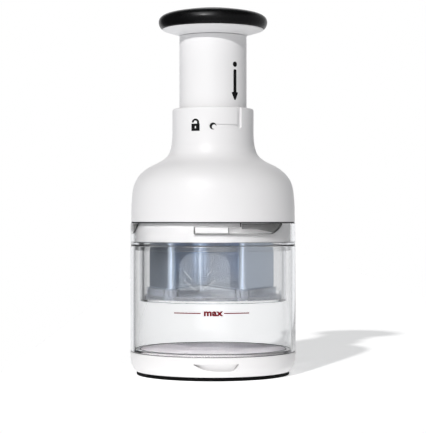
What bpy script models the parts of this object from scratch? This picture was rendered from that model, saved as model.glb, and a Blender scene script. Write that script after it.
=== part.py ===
"""Press-down vegetable chopper: clear cup on a white base, zigzag blade under a plunger knob.

The pump knob pushes a twisted shaft through a fixed nut, so the blade drops into the cup and turns
a little with each push. +Z is up, the origin is under the middle of the foot ring, and the front
is -Y. Azimuths are in degrees from the front, turning towards +X. Lengths are in metres.
"""
import math

import bmesh
import bpy
import numpy as np
from mathutils import Matrix, Vector

MM = 0.001

# Fits
CLEARANCE = 0.3 * MM
SLIDING_FIT = 0.4 * MM
TIP_CLEARANCE = 0.5 * MM
OVERCUT = 1.0 * MM
CUTTER_STEP = 0.05 * MM
BODY_SIDES = 36
TUBE_SIDES = 32
SMALL_SIDES = 12

# Motion
TRAVEL = 36.0 * MM
INDEX_TURN = 45.0
LOCK_TURN = 40.0

# The radius that the cup, the base and all the round parts in them take theirs from
BODY_RADIUS = 50.5 * MM

# Foot ring and base
FOOT_INSET = 3.9 * MM
FOOT_WIDTH = 2.3 * MM
FOOT_HEIGHT = 2.0 * MM
FOOT_PROUD = 0.8 * MM
BASE_HEIGHT = 14.0 * MM
BASE_RECESS = 3.2 * MM
BASE_RIDGE = 2.0 * MM
SPIGOT_HEIGHT = 1.5 * MM
SPIGOT_WALL = 2.6 * MM
DECK_DROP = 0.8 * MM
BASE_CURVE = (
    (0.3 * MM, 4.7 * MM),
    (1.0 * MM, 8.1 * MM),
    (2.7 * MM, 11.1 * MM),
)
GRIP_POCKET_DEPTH = 1.6 * MM
GRIP_POCKET_DROP = 1.4 * MM
GRIP_POCKET_EDGE = (
    (-14, 1.0 * MM),
    (-10, 2.4 * MM),
    (-5, 3.5 * MM),
    (0, 4.0 * MM),
    (6, 4.1 * MM),
    (12, 3.7 * MM),
    (17, 3.0 * MM),
)

# Chopping floor
FLOOR_THICKNESS = 2.2 * MM
FLOOR_EDGE = 0.6 * MM

# Cup
CUP_WALL = 2.6 * MM
CUP_HEIGHT = 64.2 * MM
CUP_EDGE = 0.4 * MM

# Blade guard: the clear sleeve in the cup, with the locking collar above its flange
SLEEVE_GAP = 3.2 * MM
SLEEVE_WALL = 2.3 * MM
LIP_WIDTH = 1.9 * MM
LIP_THICKNESS = 1.2 * MM
FLANGE_THICKNESS = 1.6 * MM
COLLAR_INSET = 0.2 * MM
COLLAR_WALL = 2.6 * MM
COLLAR_HEIGHT = 12.4 * MM
LOCATING_RIB_DEPTH = 3.3 * MM
LOCATING_RIB_WALL = 1.4 * MM

# Bayonet between the locking ring and the collar
BAYONETS = 3
BAYONET_START = -12.1
BAYONET_END = 10.3
BAYONET_TWIST = 33.0
BAYONET_PLAY = 0.4
BAYONET_LUG_REACH = 1.7 * MM
BAYONET_LUG_HEIGHT = 3.2 * MM
BAYONET_LUG_LIFT = 5.8 * MM
ENTRY_START = 19.6
ENTRY_RAMP = 13.0

# Wiper, the slotted disc that strips food from the blade
WIPER_DROP = 5.9 * MM
WIPER_THICKNESS = 2.0 * MM
WIPER_TABS = 6
WIPER_TAB_FIRST = -42.0
WIPER_TAB_HALF = 4.5
WIPER_TAB_HEIGHT = 2.4 * MM
WIPER_TAB_WALL = 1.0 * MM
WIPER_TAB_INSET = 0.2 * MM
SLOT_WALL = 1.25 * MM
SLOT_ENGAGEMENT = 0.6 * MM

# Blade: one strip of steel, folded into a W seen from above, its corners in shares of the
# carrier's radius
BLADE_THICKNESS = 0.7 * MM
BLADE_GRIND = 1.8 * MM
BLADE_EDGE = 0.16 * MM
FOLD_RADIUS = 2.5 * MM
FOLD_STEPS = 4
BLADE_CORNER_SHARES = (
    (-0.9561, 0.0976),
    (-0.5732, -0.8780),
    (-0.2146, 0.9756),
    (0.4024, -0.9268),
    (0.9244, 0.2195),
)

# Blade carrier
CARRIER_GAP = 1.4 * MM
CARRIER_THICKNESS = 5.5 * MM
CARRIER_EDGE = 0.6 * MM
BLADE_SEAT = 2.5 * MM

# Drive shaft: twisted square bar below, round journal above
SHAFT_SIDE = 7.0 * MM
SHAFT_RADIUS = 4.0 * MM
SHAFT_STEPS = 10
SHAFT_FOOT_RADIUS = 12.0 * MM
SHAFT_FOOT_THICKNESS = 2.0 * MM
SHAFT_FOOT_SINK = 0.1 * MM
SHAFT_BLEND = 2.0 * MM
SHAFT_END = 1.2 * MM
TWIST_SPARE = 2.0 * MM
SHOULDER_RADIUS = 6.0 * MM
SHOULDER_THICKNESS = 2.7 * MM
CLIP_GROOVE = 0.8 * MM
CLIP_THICKNESS = 0.8 * MM
CLIP_RADIUS = 6.5 * MM
CLIP_GAP = 60.0
FOOT_SCREW_PLACE = 8.5 * MM
FOOT_SCREW_AZIMUTH = 112.0
FOOT_SCREW_SHANK = 0.8 * MM
FOOT_SCREW_HEAD = 1.6 * MM
FOOT_SCREW_HEAD_HEIGHT = 0.7 * MM
FOOT_SCREW_SINK = 0.1 * MM
FOOT_SCREW_FLOOR = 1.0 * MM

# Locking ring
RING_WALL = 2.0 * MM
RING_FLANGE_THICKNESS = 1.8 * MM

# Housing, the white bell with its neck
HOUSING_INSET = 0.6 * MM
HOUSING_WALL = 2.2 * MM
HOUSING_HEIGHT = 68.9 * MM
SHADOW_GAP = 1.4 * MM
NECK_RADIUS = 24.8 * MM
NECK_WALL = 2.0 * MM
NECK_EDGE = 1.5 * MM
NECK_LIP = 1.3 * MM
GUIDE_LIFT = 1.0 * MM
GUIDE_SHOULDER = 3.0 * MM
GUIDE_CROWN = 1.5 * MM
SHOULDER_RISE = 52.4 * MM
SHOULDER_SHARES = (
    (0.020, 0.895),
    (0.050, 0.842),
    (0.095, 0.775),
    (0.271, 0.706),
    (0.558, 0.637),
    (0.745, 0.569),
    (0.869, 0.502),
    (0.936, 0.433),
    (0.968, 0.365),
    (0.992, 0.227),
)
WINDOW_RADIUS = 2.3 * MM
WINDOW_DROP = 11.7 * MM
TRACK_WIDTH = 1.3 * MM
TRACK_DEPTH = 0.5 * MM
WINDOW_SIDES = 16
BUSH_WALL = 1.7 * MM

# Mechanism plate, its nut and its screws
PLATE_RECESS = 2.4 * MM
PLATE_THICKNESS = 3.0 * MM
SPRING_WELL_WALL = 1.2 * MM
SPRING_WELL_HEIGHT = 2.0 * MM
NUT_RADIUS = 9.0 * MM
NUT_NECK_RADIUS = 6.7 * MM
NUT_FLANGE = 1.4 * MM
NUT_PLAY = 0.35 * MM
KEEPER_GAP = 0.7 * MM
KEEPER_THICKNESS = 1.0 * MM
HOUSING_SCREWS = 3
HOUSING_SCREW_INSET = 0.2 * MM
HOUSING_SCREW_FIRST = 60.0
HOUSING_SCREW_LENGTH = 12.0 * MM
SCREW_SHANK = 1.1 * MM
SCREW_HEAD = 1.7 * MM
SCREW_HEAD_HEIGHT = 1.3 * MM
BOSS_RADIUS = 3.0 * MM
BOSS_HEIGHT = 19.5 * MM

# Plunger sleeve
PLUNGER_WALL = 2.0 * MM
PLUNGER_LENGTH = 71.2 * MM
PLUNGER_TOP_THICKNESS = 2.2 * MM
LATCHES = 3
LATCH_FIRST = 90.0
LATCH_HALF = 9.0
LATCH_LIFT = 2.5 * MM
LATCH_HEIGHT = 3.0 * MM
LEDGE_HEIGHT = 4.0 * MM
LEDGE_MARGIN = 3.0

# Return spring and its washer
WASHER_GAP = 2.0 * MM
WASHER_THICKNESS = 1.2 * MM
SPRING_INSET = 2.5 * MM
SPRING_WIRE = 1.6 * MM
SPRING_TURNS = 10
SPRING_PLAY = 0.5 * MM
SPRING_POINTS_PER_TURN = 8

# Knob: white flared cap under a soft black pad
KNOB_HEIGHT = 17.0 * MM
KNOB_OVERHANG = 12.6 * MM
PAD_SKIRT_DROP = 12.7 * MM
PAD_WALL = 3.0 * MM
PAD_OUTLINE_SHARES = (
    (0.0, 0.0),
    (0.242, 0.032),
    (0.423, 0.094),
    (0.604, 0.165),
    (0.725, 0.213),
    (0.816, 0.260),
    (0.876, 0.307),
    (0.937, 0.394),
    (0.979, 0.488),
    (1.0, 0.614),
    (1.0, 0.740),
    (0.982, 0.874),
    (0.952, 0.969),
    (0.943, 1.0),
)
PAD_CORE = 20.0 * MM
PAD_CORE_DROP = 5.4 * MM
CROWN_DROP = 3.6 * MM
RIM_DROP = 7.6 * MM
RIM_CHAMFER = 0.8 * MM
CAP_FLARE_INSET = 2.2 * MM
CAP_FLARE_OUTLINE = (
    (0.2 * MM, 0.4 * MM),
    (3.2 * MM, 1.4 * MM),
    (6.1 * MM, 2.3 * MM),
    (9.0 * MM, 3.0 * MM),
)
CAP_DISH = 0.4 * MM
CAP_DISH_RIM = 3.0 * MM
CAP_FLOOR = 2.2 * MM
CAP_WALL = 3.0 * MM
CAP_POCKET_RADIUS = 8.0 * MM
KNOB_SCREWS = 3
KNOB_SCREW_INSET = 5.5 * MM
KNOB_SCREW_HEAD = 2.4 * MM

# Heights worked out from the sizes above, from the foot ring up
BASE_UNDERSIDE = FOOT_PROUD
FOOT_SEAT = FOOT_HEIGHT + CLEARANCE
BASE_TOP = BASE_HEIGHT
SPIGOT_TOP = BASE_TOP + SPIGOT_HEIGHT
DECK_TOP = BASE_TOP - DECK_DROP
FLOOR_BOTTOM = DECK_TOP + CLEARANCE
FLOOR_TOP = FLOOR_BOTTOM + FLOOR_THICKNESS
CUP_BOTTOM = BASE_TOP + CLEARANCE
CUP_TOP = CUP_BOTTOM + CUP_HEIGHT
FLANGE_BOTTOM = CUP_TOP + CLEARANCE
FLANGE_TOP = FLANGE_BOTTOM + FLANGE_THICKNESS
COLLAR_TOP = FLANGE_BOTTOM + COLLAR_HEIGHT
HOUSING_BOTTOM = COLLAR_TOP + SHADOW_GAP
HOUSING_TOP = HOUSING_BOTTOM + HOUSING_HEIGHT
PLATE_BOTTOM = HOUSING_BOTTOM + PLATE_RECESS
PLATE_TOP = PLATE_BOTTOM + PLATE_THICKNESS
CARRIER_TOP = PLATE_BOTTOM - CLEARANCE
CARRIER_BOTTOM = CARRIER_TOP - CARRIER_THICKNESS
BLADE_TOP = CARRIER_BOTTOM + BLADE_SEAT
BLADE_BOTTOM = FLOOR_TOP + TIP_CLEARANCE + TRAVEL
SLOT_WALL_TOP = BLADE_BOTTOM + SLOT_ENGAGEMENT
WIPER_BOTTOM = BLADE_BOTTOM - WIPER_DROP
WIPER_TOP = WIPER_BOTTOM + WIPER_THICKNESS
LIP_TOP = WIPER_BOTTOM - CLEARANCE
SLEEVE_BOTTOM = LIP_TOP - LIP_THICKNESS
RING_TOP = PLATE_BOTTOM - CLEARANCE
RING_BOTTOM = FLANGE_TOP + CLEARANCE
LUG_BOTTOM = FLANGE_TOP + BAYONET_LUG_LIFT
LUG_TOP = LUG_BOTTOM + BAYONET_LUG_HEIGHT
NUT_TOP = PLATE_TOP
NUT_SHELF = NUT_TOP - NUT_FLANGE
KEEPER_BOTTOM = PLATE_TOP + CLEARANCE
PLUNGER_BOTTOM = PLATE_TOP + TIP_CLEARANCE + TRAVEL
PLUNGER_TOP = PLUNGER_BOTTOM + PLUNGER_LENGTH
PLUNGER_CEILING = PLUNGER_TOP - PLUNGER_TOP_THICKNESS
LATCH_BOTTOM = PLUNGER_BOTTOM + LATCH_LIFT
LATCH_TOP = LATCH_BOTTOM + LATCH_HEIGHT
BUSH_BOTTOM = LATCH_TOP + CLEARANCE
LIP_UNDERSIDE = HOUSING_TOP - NECK_LIP
BUSH_TOP = LIP_UNDERSIDE - CLEARANCE
LEDGE_BOTTOM = LATCH_TOP - TRAVEL + CLEARANCE
GUIDE_BOTTOM = PLATE_TOP + GUIDE_LIFT
WINDOW_HEIGHT = HOUSING_TOP - WINDOW_DROP
WASHER_TOP = PLUNGER_CEILING - CLEARANCE
WASHER_BOTTOM = WASHER_TOP - WASHER_THICKNESS
SHOULDER_TOP = WASHER_BOTTOM - CLEARANCE
CLIP_BOTTOM = PLUNGER_TOP + 2 * CLEARANCE
SHAFT_TOP = CLIP_BOTTOM + CLIP_THICKNESS + SHAFT_END
SHAFT_FOOT_TOP = CARRIER_TOP - SHAFT_FOOT_SINK
SHAFT_FOOT_BOTTOM = SHAFT_FOOT_TOP - SHAFT_FOOT_THICKNESS
TWIST_TOP = PLATE_TOP + TRAVEL + TWIST_SPARE
CAP_BOTTOM = PLUNGER_TOP + CLEARANCE
CAP_FLOOR_TOP = CAP_BOTTOM + CAP_FLOOR
KNOB_TOP = CAP_BOTTOM + KNOB_HEIGHT
PAD_BOTTOM = KNOB_TOP - PAD_SKIRT_DROP
FLARE_TOP = PAD_BOTTOM - CLEARANCE
RIM_TOP = KNOB_TOP - RIM_DROP
GRIP_POCKET_TOP = BASE_TOP - GRIP_POCKET_DROP
RING_FLANGE_BOTTOM = RING_TOP - RING_FLANGE_THICKNESS
SCREW_SEAT = RING_FLANGE_BOTTOM - CLEARANCE
FOOT_SCREW_TIP = CARRIER_BOTTOM + FOOT_SCREW_FLOOR
FOOT_SCREW_TOP = SHAFT_FOOT_TOP - FOOT_SCREW_SINK
FOOT_SCREW_SEAT = FOOT_SCREW_TOP - FOOT_SCREW_HEAD_HEIGHT

# Radii worked out from the sizes above
CUP_BORE = BODY_RADIUS - CUP_WALL
SPIGOT_RADIUS = CUP_BORE - SLIDING_FIT
FLOOR_WELL = SPIGOT_RADIUS - SPIGOT_WALL
FLOOR_RADIUS = FLOOR_WELL - SLIDING_FIT
FOOT_RADIUS = BODY_RADIUS - FOOT_INSET
FOOT_INNER = FOOT_RADIUS - FOOT_WIDTH
SLEEVE_RADIUS = CUP_BORE - SLEEVE_GAP
SLEEVE_BORE = SLEEVE_RADIUS - SLEEVE_WALL
LIP_RADIUS = SLEEVE_BORE - LIP_WIDTH
WIPER_RADIUS = SLEEVE_BORE - SLIDING_FIT
CARRIER_RADIUS = SLEEVE_BORE - CARRIER_GAP
COLLAR_RADIUS = BODY_RADIUS - COLLAR_INSET
COLLAR_BORE = COLLAR_RADIUS - COLLAR_WALL
RING_RADIUS = COLLAR_BORE - SLIDING_FIT
RING_BORE = RING_RADIUS - RING_WALL
RING_FLANGE_BORE = CARRIER_RADIUS + SLIDING_FIT
LUG_RADIUS = RING_RADIUS + BAYONET_LUG_REACH
HOUSING_SCREW_PLACE = RING_BORE - SCREW_HEAD - HOUSING_SCREW_INSET
HOUSING_RADIUS = BODY_RADIUS - HOUSING_INSET
HOUSING_BORE = HOUSING_RADIUS - HOUSING_WALL
PLATE_RADIUS = HOUSING_BORE - 1.5 * CLEARANCE
GUIDE_BORE = NECK_RADIUS - NECK_WALL
BUSH_RADIUS = GUIDE_BORE - CLEARANCE
BUSH_BORE = BUSH_RADIUS - BUSH_WALL
LATCH_RADIUS = BUSH_RADIUS
PLUNGER_RADIUS = BUSH_BORE - CLEARANCE
PLUNGER_BORE = PLUNGER_RADIUS - PLUNGER_WALL
NECK_BORE = PLUNGER_RADIUS + SLIDING_FIT
WASHER_RADIUS = PLUNGER_BORE - WASHER_GAP
SPRING_RADIUS = WASHER_RADIUS - SPRING_INSET
KEEPER_RADIUS = SPRING_RADIUS - SPRING_WIRE / 2 - KEEPER_GAP
KNOB_SCREW_PLACE = PLUNGER_BORE - KNOB_SCREW_INSET
PAD_RADIUS = PLUNGER_RADIUS + KNOB_OVERHANG
PAD_BORE = PAD_RADIUS - PAD_WALL
CAP_RIM = PAD_BORE - CLEARANCE
CAP_WELL = CAP_RIM - CAP_WALL
CAP_FLARE = PAD_RADIUS - CAP_FLARE_INSET
SCREW_HOLE = SCREW_SHANK + CLEARANCE
SHAFT_HOLE = SHAFT_RADIUS + CLEARANCE
SLOT_HALF = BLADE_THICKNESS / 2 + CLEARANCE
FOOT_SCREW_HOLE = FOOT_SCREW_SHANK + CLEARANCE

WHITE = (0.87, 0.87, 0.88)
BLACK = (0.02, 0.02, 0.02)
CLEAR = (0.88, 0.91, 0.93)
MILKY = (0.78, 0.79, 0.82)
STEEL = (0.52, 0.55, 0.60)
GREY = (0.55, 0.56, 0.58)


def clear_scene():
    for old in list(bpy.data.objects):
        bpy.data.objects.remove(old, do_unlink=True)


def new_collection(name):
    collection = bpy.data.collections.new(name)
    bpy.context.scene.collection.children.link(collection)
    return collection


def make_material(name, colour, roughness, metallic=0.0, alpha=1.0):
    material = bpy.data.materials.new(name)
    material.use_nodes = True
    shader = material.node_tree.nodes["Principled BSDF"]
    shader.inputs["Base Color"].default_value = (*colour, 1.0)
    shader.inputs["Roughness"].default_value = roughness
    shader.inputs["Metallic"].default_value = metallic
    shader.inputs["Alpha"].default_value = alpha
    return material


clear_scene()
PARTS = new_collection("vegetable_chopper")
CUTTERS = new_collection("cutters")


def add_body(name, height):
    """An empty on the chopper's axis that carries the pieces of one moving body."""
    empty = bpy.data.objects.new(name, None)
    empty.location = (0.0, 0.0, height)
    empty.empty_display_size = BODY_RADIUS
    PARTS.objects.link(empty)
    return empty


def carry(obj, body):
    obj.parent = body
    obj.matrix_parent_inverse = Matrix.Translation(-body.location)


def add_part(name, mesh, seat, colour, roughness, metallic=0.0, alpha=1.0):
    """Links a named piece whose mesh is measured from its seat height on the axis."""
    obj = bpy.data.objects.new(name, mesh)
    obj.location = (0.0, 0.0, seat)
    mesh.materials.append(make_material(name, colour, roughness, metallic, alpha))
    PARTS.objects.link(obj)
    return obj


def hide_cutter(obj):
    obj.hide_render = True
    obj.display_type = "WIRE"
    for collection in list(obj.users_collection):
        collection.objects.unlink(obj)
    CUTTERS.objects.link(obj)
    return obj


def combine(obj, tool, operation):
    """Adds an exact Boolean modifier that cuts or joins a tool from the cutters' collection."""
    modifier = obj.modifiers.new(tool.name, "BOOLEAN")
    modifier.operation = operation
    modifier.solver = "EXACT"
    modifier.object = tool
    return obj


def cut(obj, tool):
    return combine(obj, tool, "DIFFERENCE")


def join(obj, tool):
    return combine(obj, tool, "UNION")


def profile_mesh(name, outline, seat, closed):
    """A wire outline in the XZ plane. Its outer side runs from top to bottom."""
    mesh = bpy.data.meshes.new(name)
    points = [(radius, 0.0, height - seat) for radius, height in outline]
    edges = [(i, i + 1) for i in range(len(points) - 1)]
    if closed:
        edges.append((len(points) - 1, 0))
    mesh.from_pydata(points, edges, [])
    return mesh


def add_screw(obj, sides):
    screw = obj.modifiers.new("turn", "SCREW")
    screw.axis = "Z"
    screw.angle = math.tau
    screw.steps = sides
    screw.render_steps = sides
    screw.use_merge_vertices = True
    screw.merge_threshold = 0.00001
    screw.use_smooth_shade = True
    return obj


def turned(name, outline, seat, colour, roughness, sides=BODY_SIDES, metallic=0.0, alpha=1.0):
    """A turned piece. An outline that starts on the axis stays open there, others close up."""
    closed = outline[0][0] > 0.0
    mesh = profile_mesh(name, outline, seat, closed)
    return add_screw(add_part(name, mesh, seat, colour, roughness, metallic, alpha), sides)


def around(radius, azimuth, height):
    """The point at an azimuth measured from the front towards +X."""
    turn = math.radians(azimuth)
    return Vector((radius * math.sin(turn), -radius * math.cos(turn), height))


def skin_rings(shape, rings):
    """Adds the faces that join a row of equal rings of vertices, with its two end caps."""
    count = len(rings[0])
    for lower, upper in zip(rings, rings[1:]):
        for i in range(count):
            j = (i + 1) % count
            shape.faces.new((lower[i], lower[j], upper[j], upper[i]))
    shape.faces.new(list(reversed(rings[0])))
    shape.faces.new(rings[-1])


def mesh_from(shape, name):
    bmesh.ops.recalc_face_normals(shape, faces=shape.faces)
    mesh = bpy.data.meshes.new(name)
    shape.to_mesh(mesh)
    shape.free()
    mesh.shade_smooth()
    mesh.set_sharp_from_angle(angle=math.radians(35))
    return mesh


def fine_stations(stations):
    """Adds stations so that no step round the axis is wider than a facet of the big turned parts."""
    step = 360.0 / BODY_SIDES
    fine = [stations[0]]
    for start, end in zip(stations, stations[1:]):
        parts = max(1, math.ceil(abs(end[0] - start[0]) / step))
        for i in range(1, parts + 1):
            share = i / parts
            fine.append(tuple(a + (b - a) * share for a, b in zip(start, end)))
    return fine


def bent_bars(name, bars, inner, outer):
    """Bars bent round the axis between two radii. Stations are (azimuth, low, high)."""
    shape = bmesh.new()
    for stations in bars:
        rings = []
        for azimuth, low, high in fine_stations(stations):
            corners = ((inner, low), (outer, low), (outer, high), (inner, high))
            rings.append([shape.verts.new(around(r, azimuth, z)) for r, z in corners])
        skin_rings(shape, rings)
    return mesh_from(shape, name)


def bent_cutter(name, bars, inner, outer):
    return hide_cutter(bpy.data.objects.new(name, bent_bars(name, bars, inner, outer)))


def repeat(count, first, stations):
    """The same stations at equal steps round the axis."""
    step = 360.0 / count
    return [[(first + i * step + a, low, high) for a, low, high in stations] for i in range(count)]


def rounded_path(corners, radius, steps):
    """A path through corners, with an arc of the given radius at each inner one."""
    points = [Vector(corner) for corner in corners]
    path = [points[0]]
    for before, corner, after in zip(points, points[1:], points[2:]):
        back = (before - corner).normalized()
        ahead = (after - corner).normalized()
        half = back.angle(ahead) / 2
        middle = corner + (back + ahead).normalized() * (radius / math.sin(half))
        start = corner + back * (radius / math.tan(half)) - middle
        end = corner + ahead * (radius / math.tan(half)) - middle
        sweep = start.angle_signed(end)
        for i in range(steps + 1):
            turned_start = start.copy()
            turned_start.rotate(Matrix.Rotation(-sweep * i / steps, 2))
            path.append(middle + turned_start)
    path.append(points[-1])
    return path


def strip_sides(path, half, extend=0.0):
    """The two sides of a strip that follows a path, each half a width from it."""
    path = [point.copy() for point in path]
    path[0] += (path[0] - path[1]).normalized() * extend
    path[-1] += (path[-1] - path[-2]).normalized() * extend
    left = []
    right = []
    for i, point in enumerate(path):
        ahead = (path[min(i + 1, len(path) - 1)] - path[max(i - 1, 0)]).normalized()
        side = Vector((-ahead.y, ahead.x))
        inner = i not in (0, len(path) - 1)
        turn = (path[i] - path[i - 1]).angle(path[i + 1] - path[i]) if inner else 0.0
        reach = half / math.cos(turn / 2)
        left.append(point + side * reach)
        right.append(point - side * reach)
    return left, right


def strip_outline(path, half, extend=0.0):
    left, right = strip_sides(path, half, extend)
    return left + list(reversed(right))


def extruded(name, outline, low, high):
    """A flat outline as a filled curve with thickness, made a mesh with its caps welded."""
    curve = bpy.data.curves.new(name, "CURVE")
    curve.dimensions = "2D"
    curve.fill_mode = "BOTH"
    curve.extrude = (high - low) / 2
    spline = curve.splines.new("POLY")
    spline.points.add(len(outline) - 1)
    for point, place in zip(spline.points, outline):
        point.co = (place[0], place[1], 0.0, 1.0)
    spline.use_cyclic_u = True
    source = bpy.data.objects.new(name + "_curve", curve)
    source.location = (0.0, 0.0, (low + high) / 2)
    CUTTERS.objects.link(source)
    return mesh_object_from(source, name)


def mesh_object_from(source, name):
    """Turns a curve object into a welded mesh object in the same place."""
    bpy.context.view_layer.update()
    evaluated = source.evaluated_get(bpy.context.evaluated_depsgraph_get())
    mesh = bpy.data.meshes.new_from_object(evaluated)
    place = source.matrix_world.copy()
    shape = bmesh.new()
    shape.from_mesh(mesh)
    bmesh.ops.remove_doubles(shape, verts=shape.verts, dist=0.00001)
    bmesh.ops.recalc_face_normals(shape, faces=shape.faces)
    shape.to_mesh(mesh)
    shape.free()
    obj = bpy.data.objects.new(name, mesh)
    obj.matrix_world = place
    bpy.data.objects.remove(source, do_unlink=True)
    return obj


def add_pins(shape, places, steps, sides=SMALL_SIDES):
    """Adds stepped round pins. Each step is (height, radius), from the bottom up."""
    for place in places:
        rings = []
        for height, radius in steps:
            ring = []
            for i in range(sides):
                turn = math.tau * i / sides
                offset = Vector((radius * math.cos(turn), radius * math.sin(turn), height))
                ring.append(shape.verts.new(Vector((place.x, place.y, 0.0)) + offset))
            rings.append(ring)
        skin_rings(shape, rings)


def pins_mesh(name, places, steps, seat=0.0, sides=SMALL_SIDES):
    shape = bmesh.new()
    add_pins(shape, places, [(height - seat, radius) for height, radius in steps], sides)
    return mesh_from(shape, name)


def pins_cutter(name, places, steps, sides=SMALL_SIDES):
    return hide_cutter(bpy.data.objects.new(name, pins_mesh(name, places, steps, 0.0, sides)))


def ring_of_places(count, first, radius):
    return [around(radius, first + 360.0 / count * i, 0.0) for i in range(count)]


def inset_outline(outline, wall):
    """The same outline moved inwards by a wall, point by point along its own normals."""
    moved = []
    last = len(outline) - 1
    for i, (radius, height) in enumerate(outline):
        before = outline[max(i - 1, 0)]
        after = outline[min(i + 1, last)]
        run = Vector((after[0] - before[0], after[1] - before[1])).normalized()
        moved.append((radius + run.y * wall, height - run.x * wall))
    return moved


BLADE_PATH = rounded_path(
    [Vector(corner) * CARRIER_RADIUS for corner in BLADE_CORNER_SHARES], FOLD_RADIUS, FOLD_STEPS
)


def make_foot_ring():
    outline = (
        (FOOT_INNER, FOOT_HEIGHT),
        (FOOT_RADIUS, FOOT_HEIGHT),
        (FOOT_RADIUS, 0.0),
        (FOOT_INNER, 0.0),
    )
    return turned("foot_ring", outline, 0.0, BLACK, 0.7)


def make_base():
    ridge = FOOT_INNER - CLEARANCE
    outline = [
        (0.0, DECK_TOP),
        (FLOOR_WELL, DECK_TOP),
        (FLOOR_WELL, SPIGOT_TOP),
        (SPIGOT_RADIUS - CUP_EDGE, SPIGOT_TOP),
        (SPIGOT_RADIUS, SPIGOT_TOP - CUP_EDGE),
        (SPIGOT_RADIUS, BASE_TOP),
        (BODY_RADIUS, BASE_TOP),
    ]
    outline += [(BODY_RADIUS - inwards, BASE_TOP - down) for inwards, down in BASE_CURVE]
    outline += [
        (FOOT_RADIUS + 2 * CLEARANCE, FOOT_SEAT),
        (ridge, FOOT_SEAT),
        (ridge, BASE_UNDERSIDE),
        (ridge - BASE_RIDGE, BASE_UNDERSIDE),
        (ridge - BASE_RIDGE, BASE_UNDERSIDE + BASE_RECESS),
        (0.0, BASE_UNDERSIDE + BASE_RECESS),
    ]
    base = turned("base", outline, BASE_UNDERSIDE, WHITE, 0.35)
    pocket = [[(a, GRIP_POCKET_TOP - depth, GRIP_POCKET_TOP) for a, depth in GRIP_POCKET_EDGE]]
    inner = BODY_RADIUS - GRIP_POCKET_DEPTH
    return cut(base, bent_cutter("grip_pocket", pocket, inner, BODY_RADIUS + OVERCUT))


def make_chopping_floor():
    outline = (
        (0.0, FLOOR_TOP),
        (FLOOR_RADIUS - FLOOR_EDGE, FLOOR_TOP),
        (FLOOR_RADIUS, FLOOR_TOP - FLOOR_EDGE),
        (FLOOR_RADIUS, FLOOR_BOTTOM),
        (0.0, FLOOR_BOTTOM),
    )
    return turned("chopping_floor", outline, FLOOR_BOTTOM, MILKY, 0.4)


def make_cup():
    outline = (
        (CUP_BORE + CUP_EDGE, CUP_TOP),
        (BODY_RADIUS - CUP_EDGE, CUP_TOP),
        (BODY_RADIUS, CUP_TOP - CUP_EDGE),
        (BODY_RADIUS, CUP_BOTTOM + CUP_EDGE),
        (BODY_RADIUS - CUP_EDGE, CUP_BOTTOM),
        (CUP_BORE + CUP_EDGE, CUP_BOTTOM),
        (CUP_BORE, CUP_BOTTOM + CUP_EDGE),
        (CUP_BORE, CUP_TOP - CUP_EDGE),
    )
    return turned("cup", outline, CUP_BOTTOM, CLEAR, 0.05, alpha=0.25)


def make_blade_guard():
    rib_radius = CUP_BORE - CLEARANCE
    rib_bottom = FLANGE_BOTTOM - LOCATING_RIB_DEPTH
    outline = (
        (COLLAR_BORE, COLLAR_TOP),
        (COLLAR_RADIUS - CUP_EDGE, COLLAR_TOP),
        (COLLAR_RADIUS, COLLAR_TOP - CUP_EDGE),
        (COLLAR_RADIUS, FLANGE_BOTTOM),
        (rib_radius, FLANGE_BOTTOM),
        (rib_radius, rib_bottom),
        (rib_radius - LOCATING_RIB_WALL, rib_bottom),
        (rib_radius - LOCATING_RIB_WALL, FLANGE_BOTTOM),
        (SLEEVE_RADIUS, FLANGE_BOTTOM),
        (SLEEVE_RADIUS, SLEEVE_BOTTOM),
        (LIP_RADIUS, SLEEVE_BOTTOM),
        (LIP_RADIUS, LIP_TOP),
        (SLEEVE_BORE, LIP_TOP),
        (SLEEVE_BORE, FLANGE_TOP),
        (COLLAR_BORE, FLANGE_TOP),
    )
    guard = turned("blade_guard", outline, SLEEVE_BOTTOM, CLEAR, 0.06, alpha=0.25)
    low = LUG_BOTTOM - CLEARANCE
    high = LUG_TOP + CLEARANCE
    end = BAYONET_END + BAYONET_TWIST + BAYONET_PLAY
    above = COLLAR_TOP + OVERCUT
    track = [(BAYONET_START - BAYONET_PLAY, low, high), (ENTRY_START, low, high)]
    entry = [
        (ENTRY_START - BAYONET_PLAY, low, above),
        (end, low, above),
        (end + ENTRY_RAMP, COLLAR_TOP - CLEARANCE, above),
    ]
    tracks = repeat(BAYONETS, 0.0, track)
    entries = repeat(BAYONETS, 0.0, entry)
    inner = COLLAR_BORE - OVERCUT
    outer = LUG_RADIUS + CLEARANCE
    cut(guard, bent_cutter("bayonet_tracks", tracks, inner, outer))
    return cut(guard, bent_cutter("bayonet_entries", entries, inner + CUTTER_STEP, outer))


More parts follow.
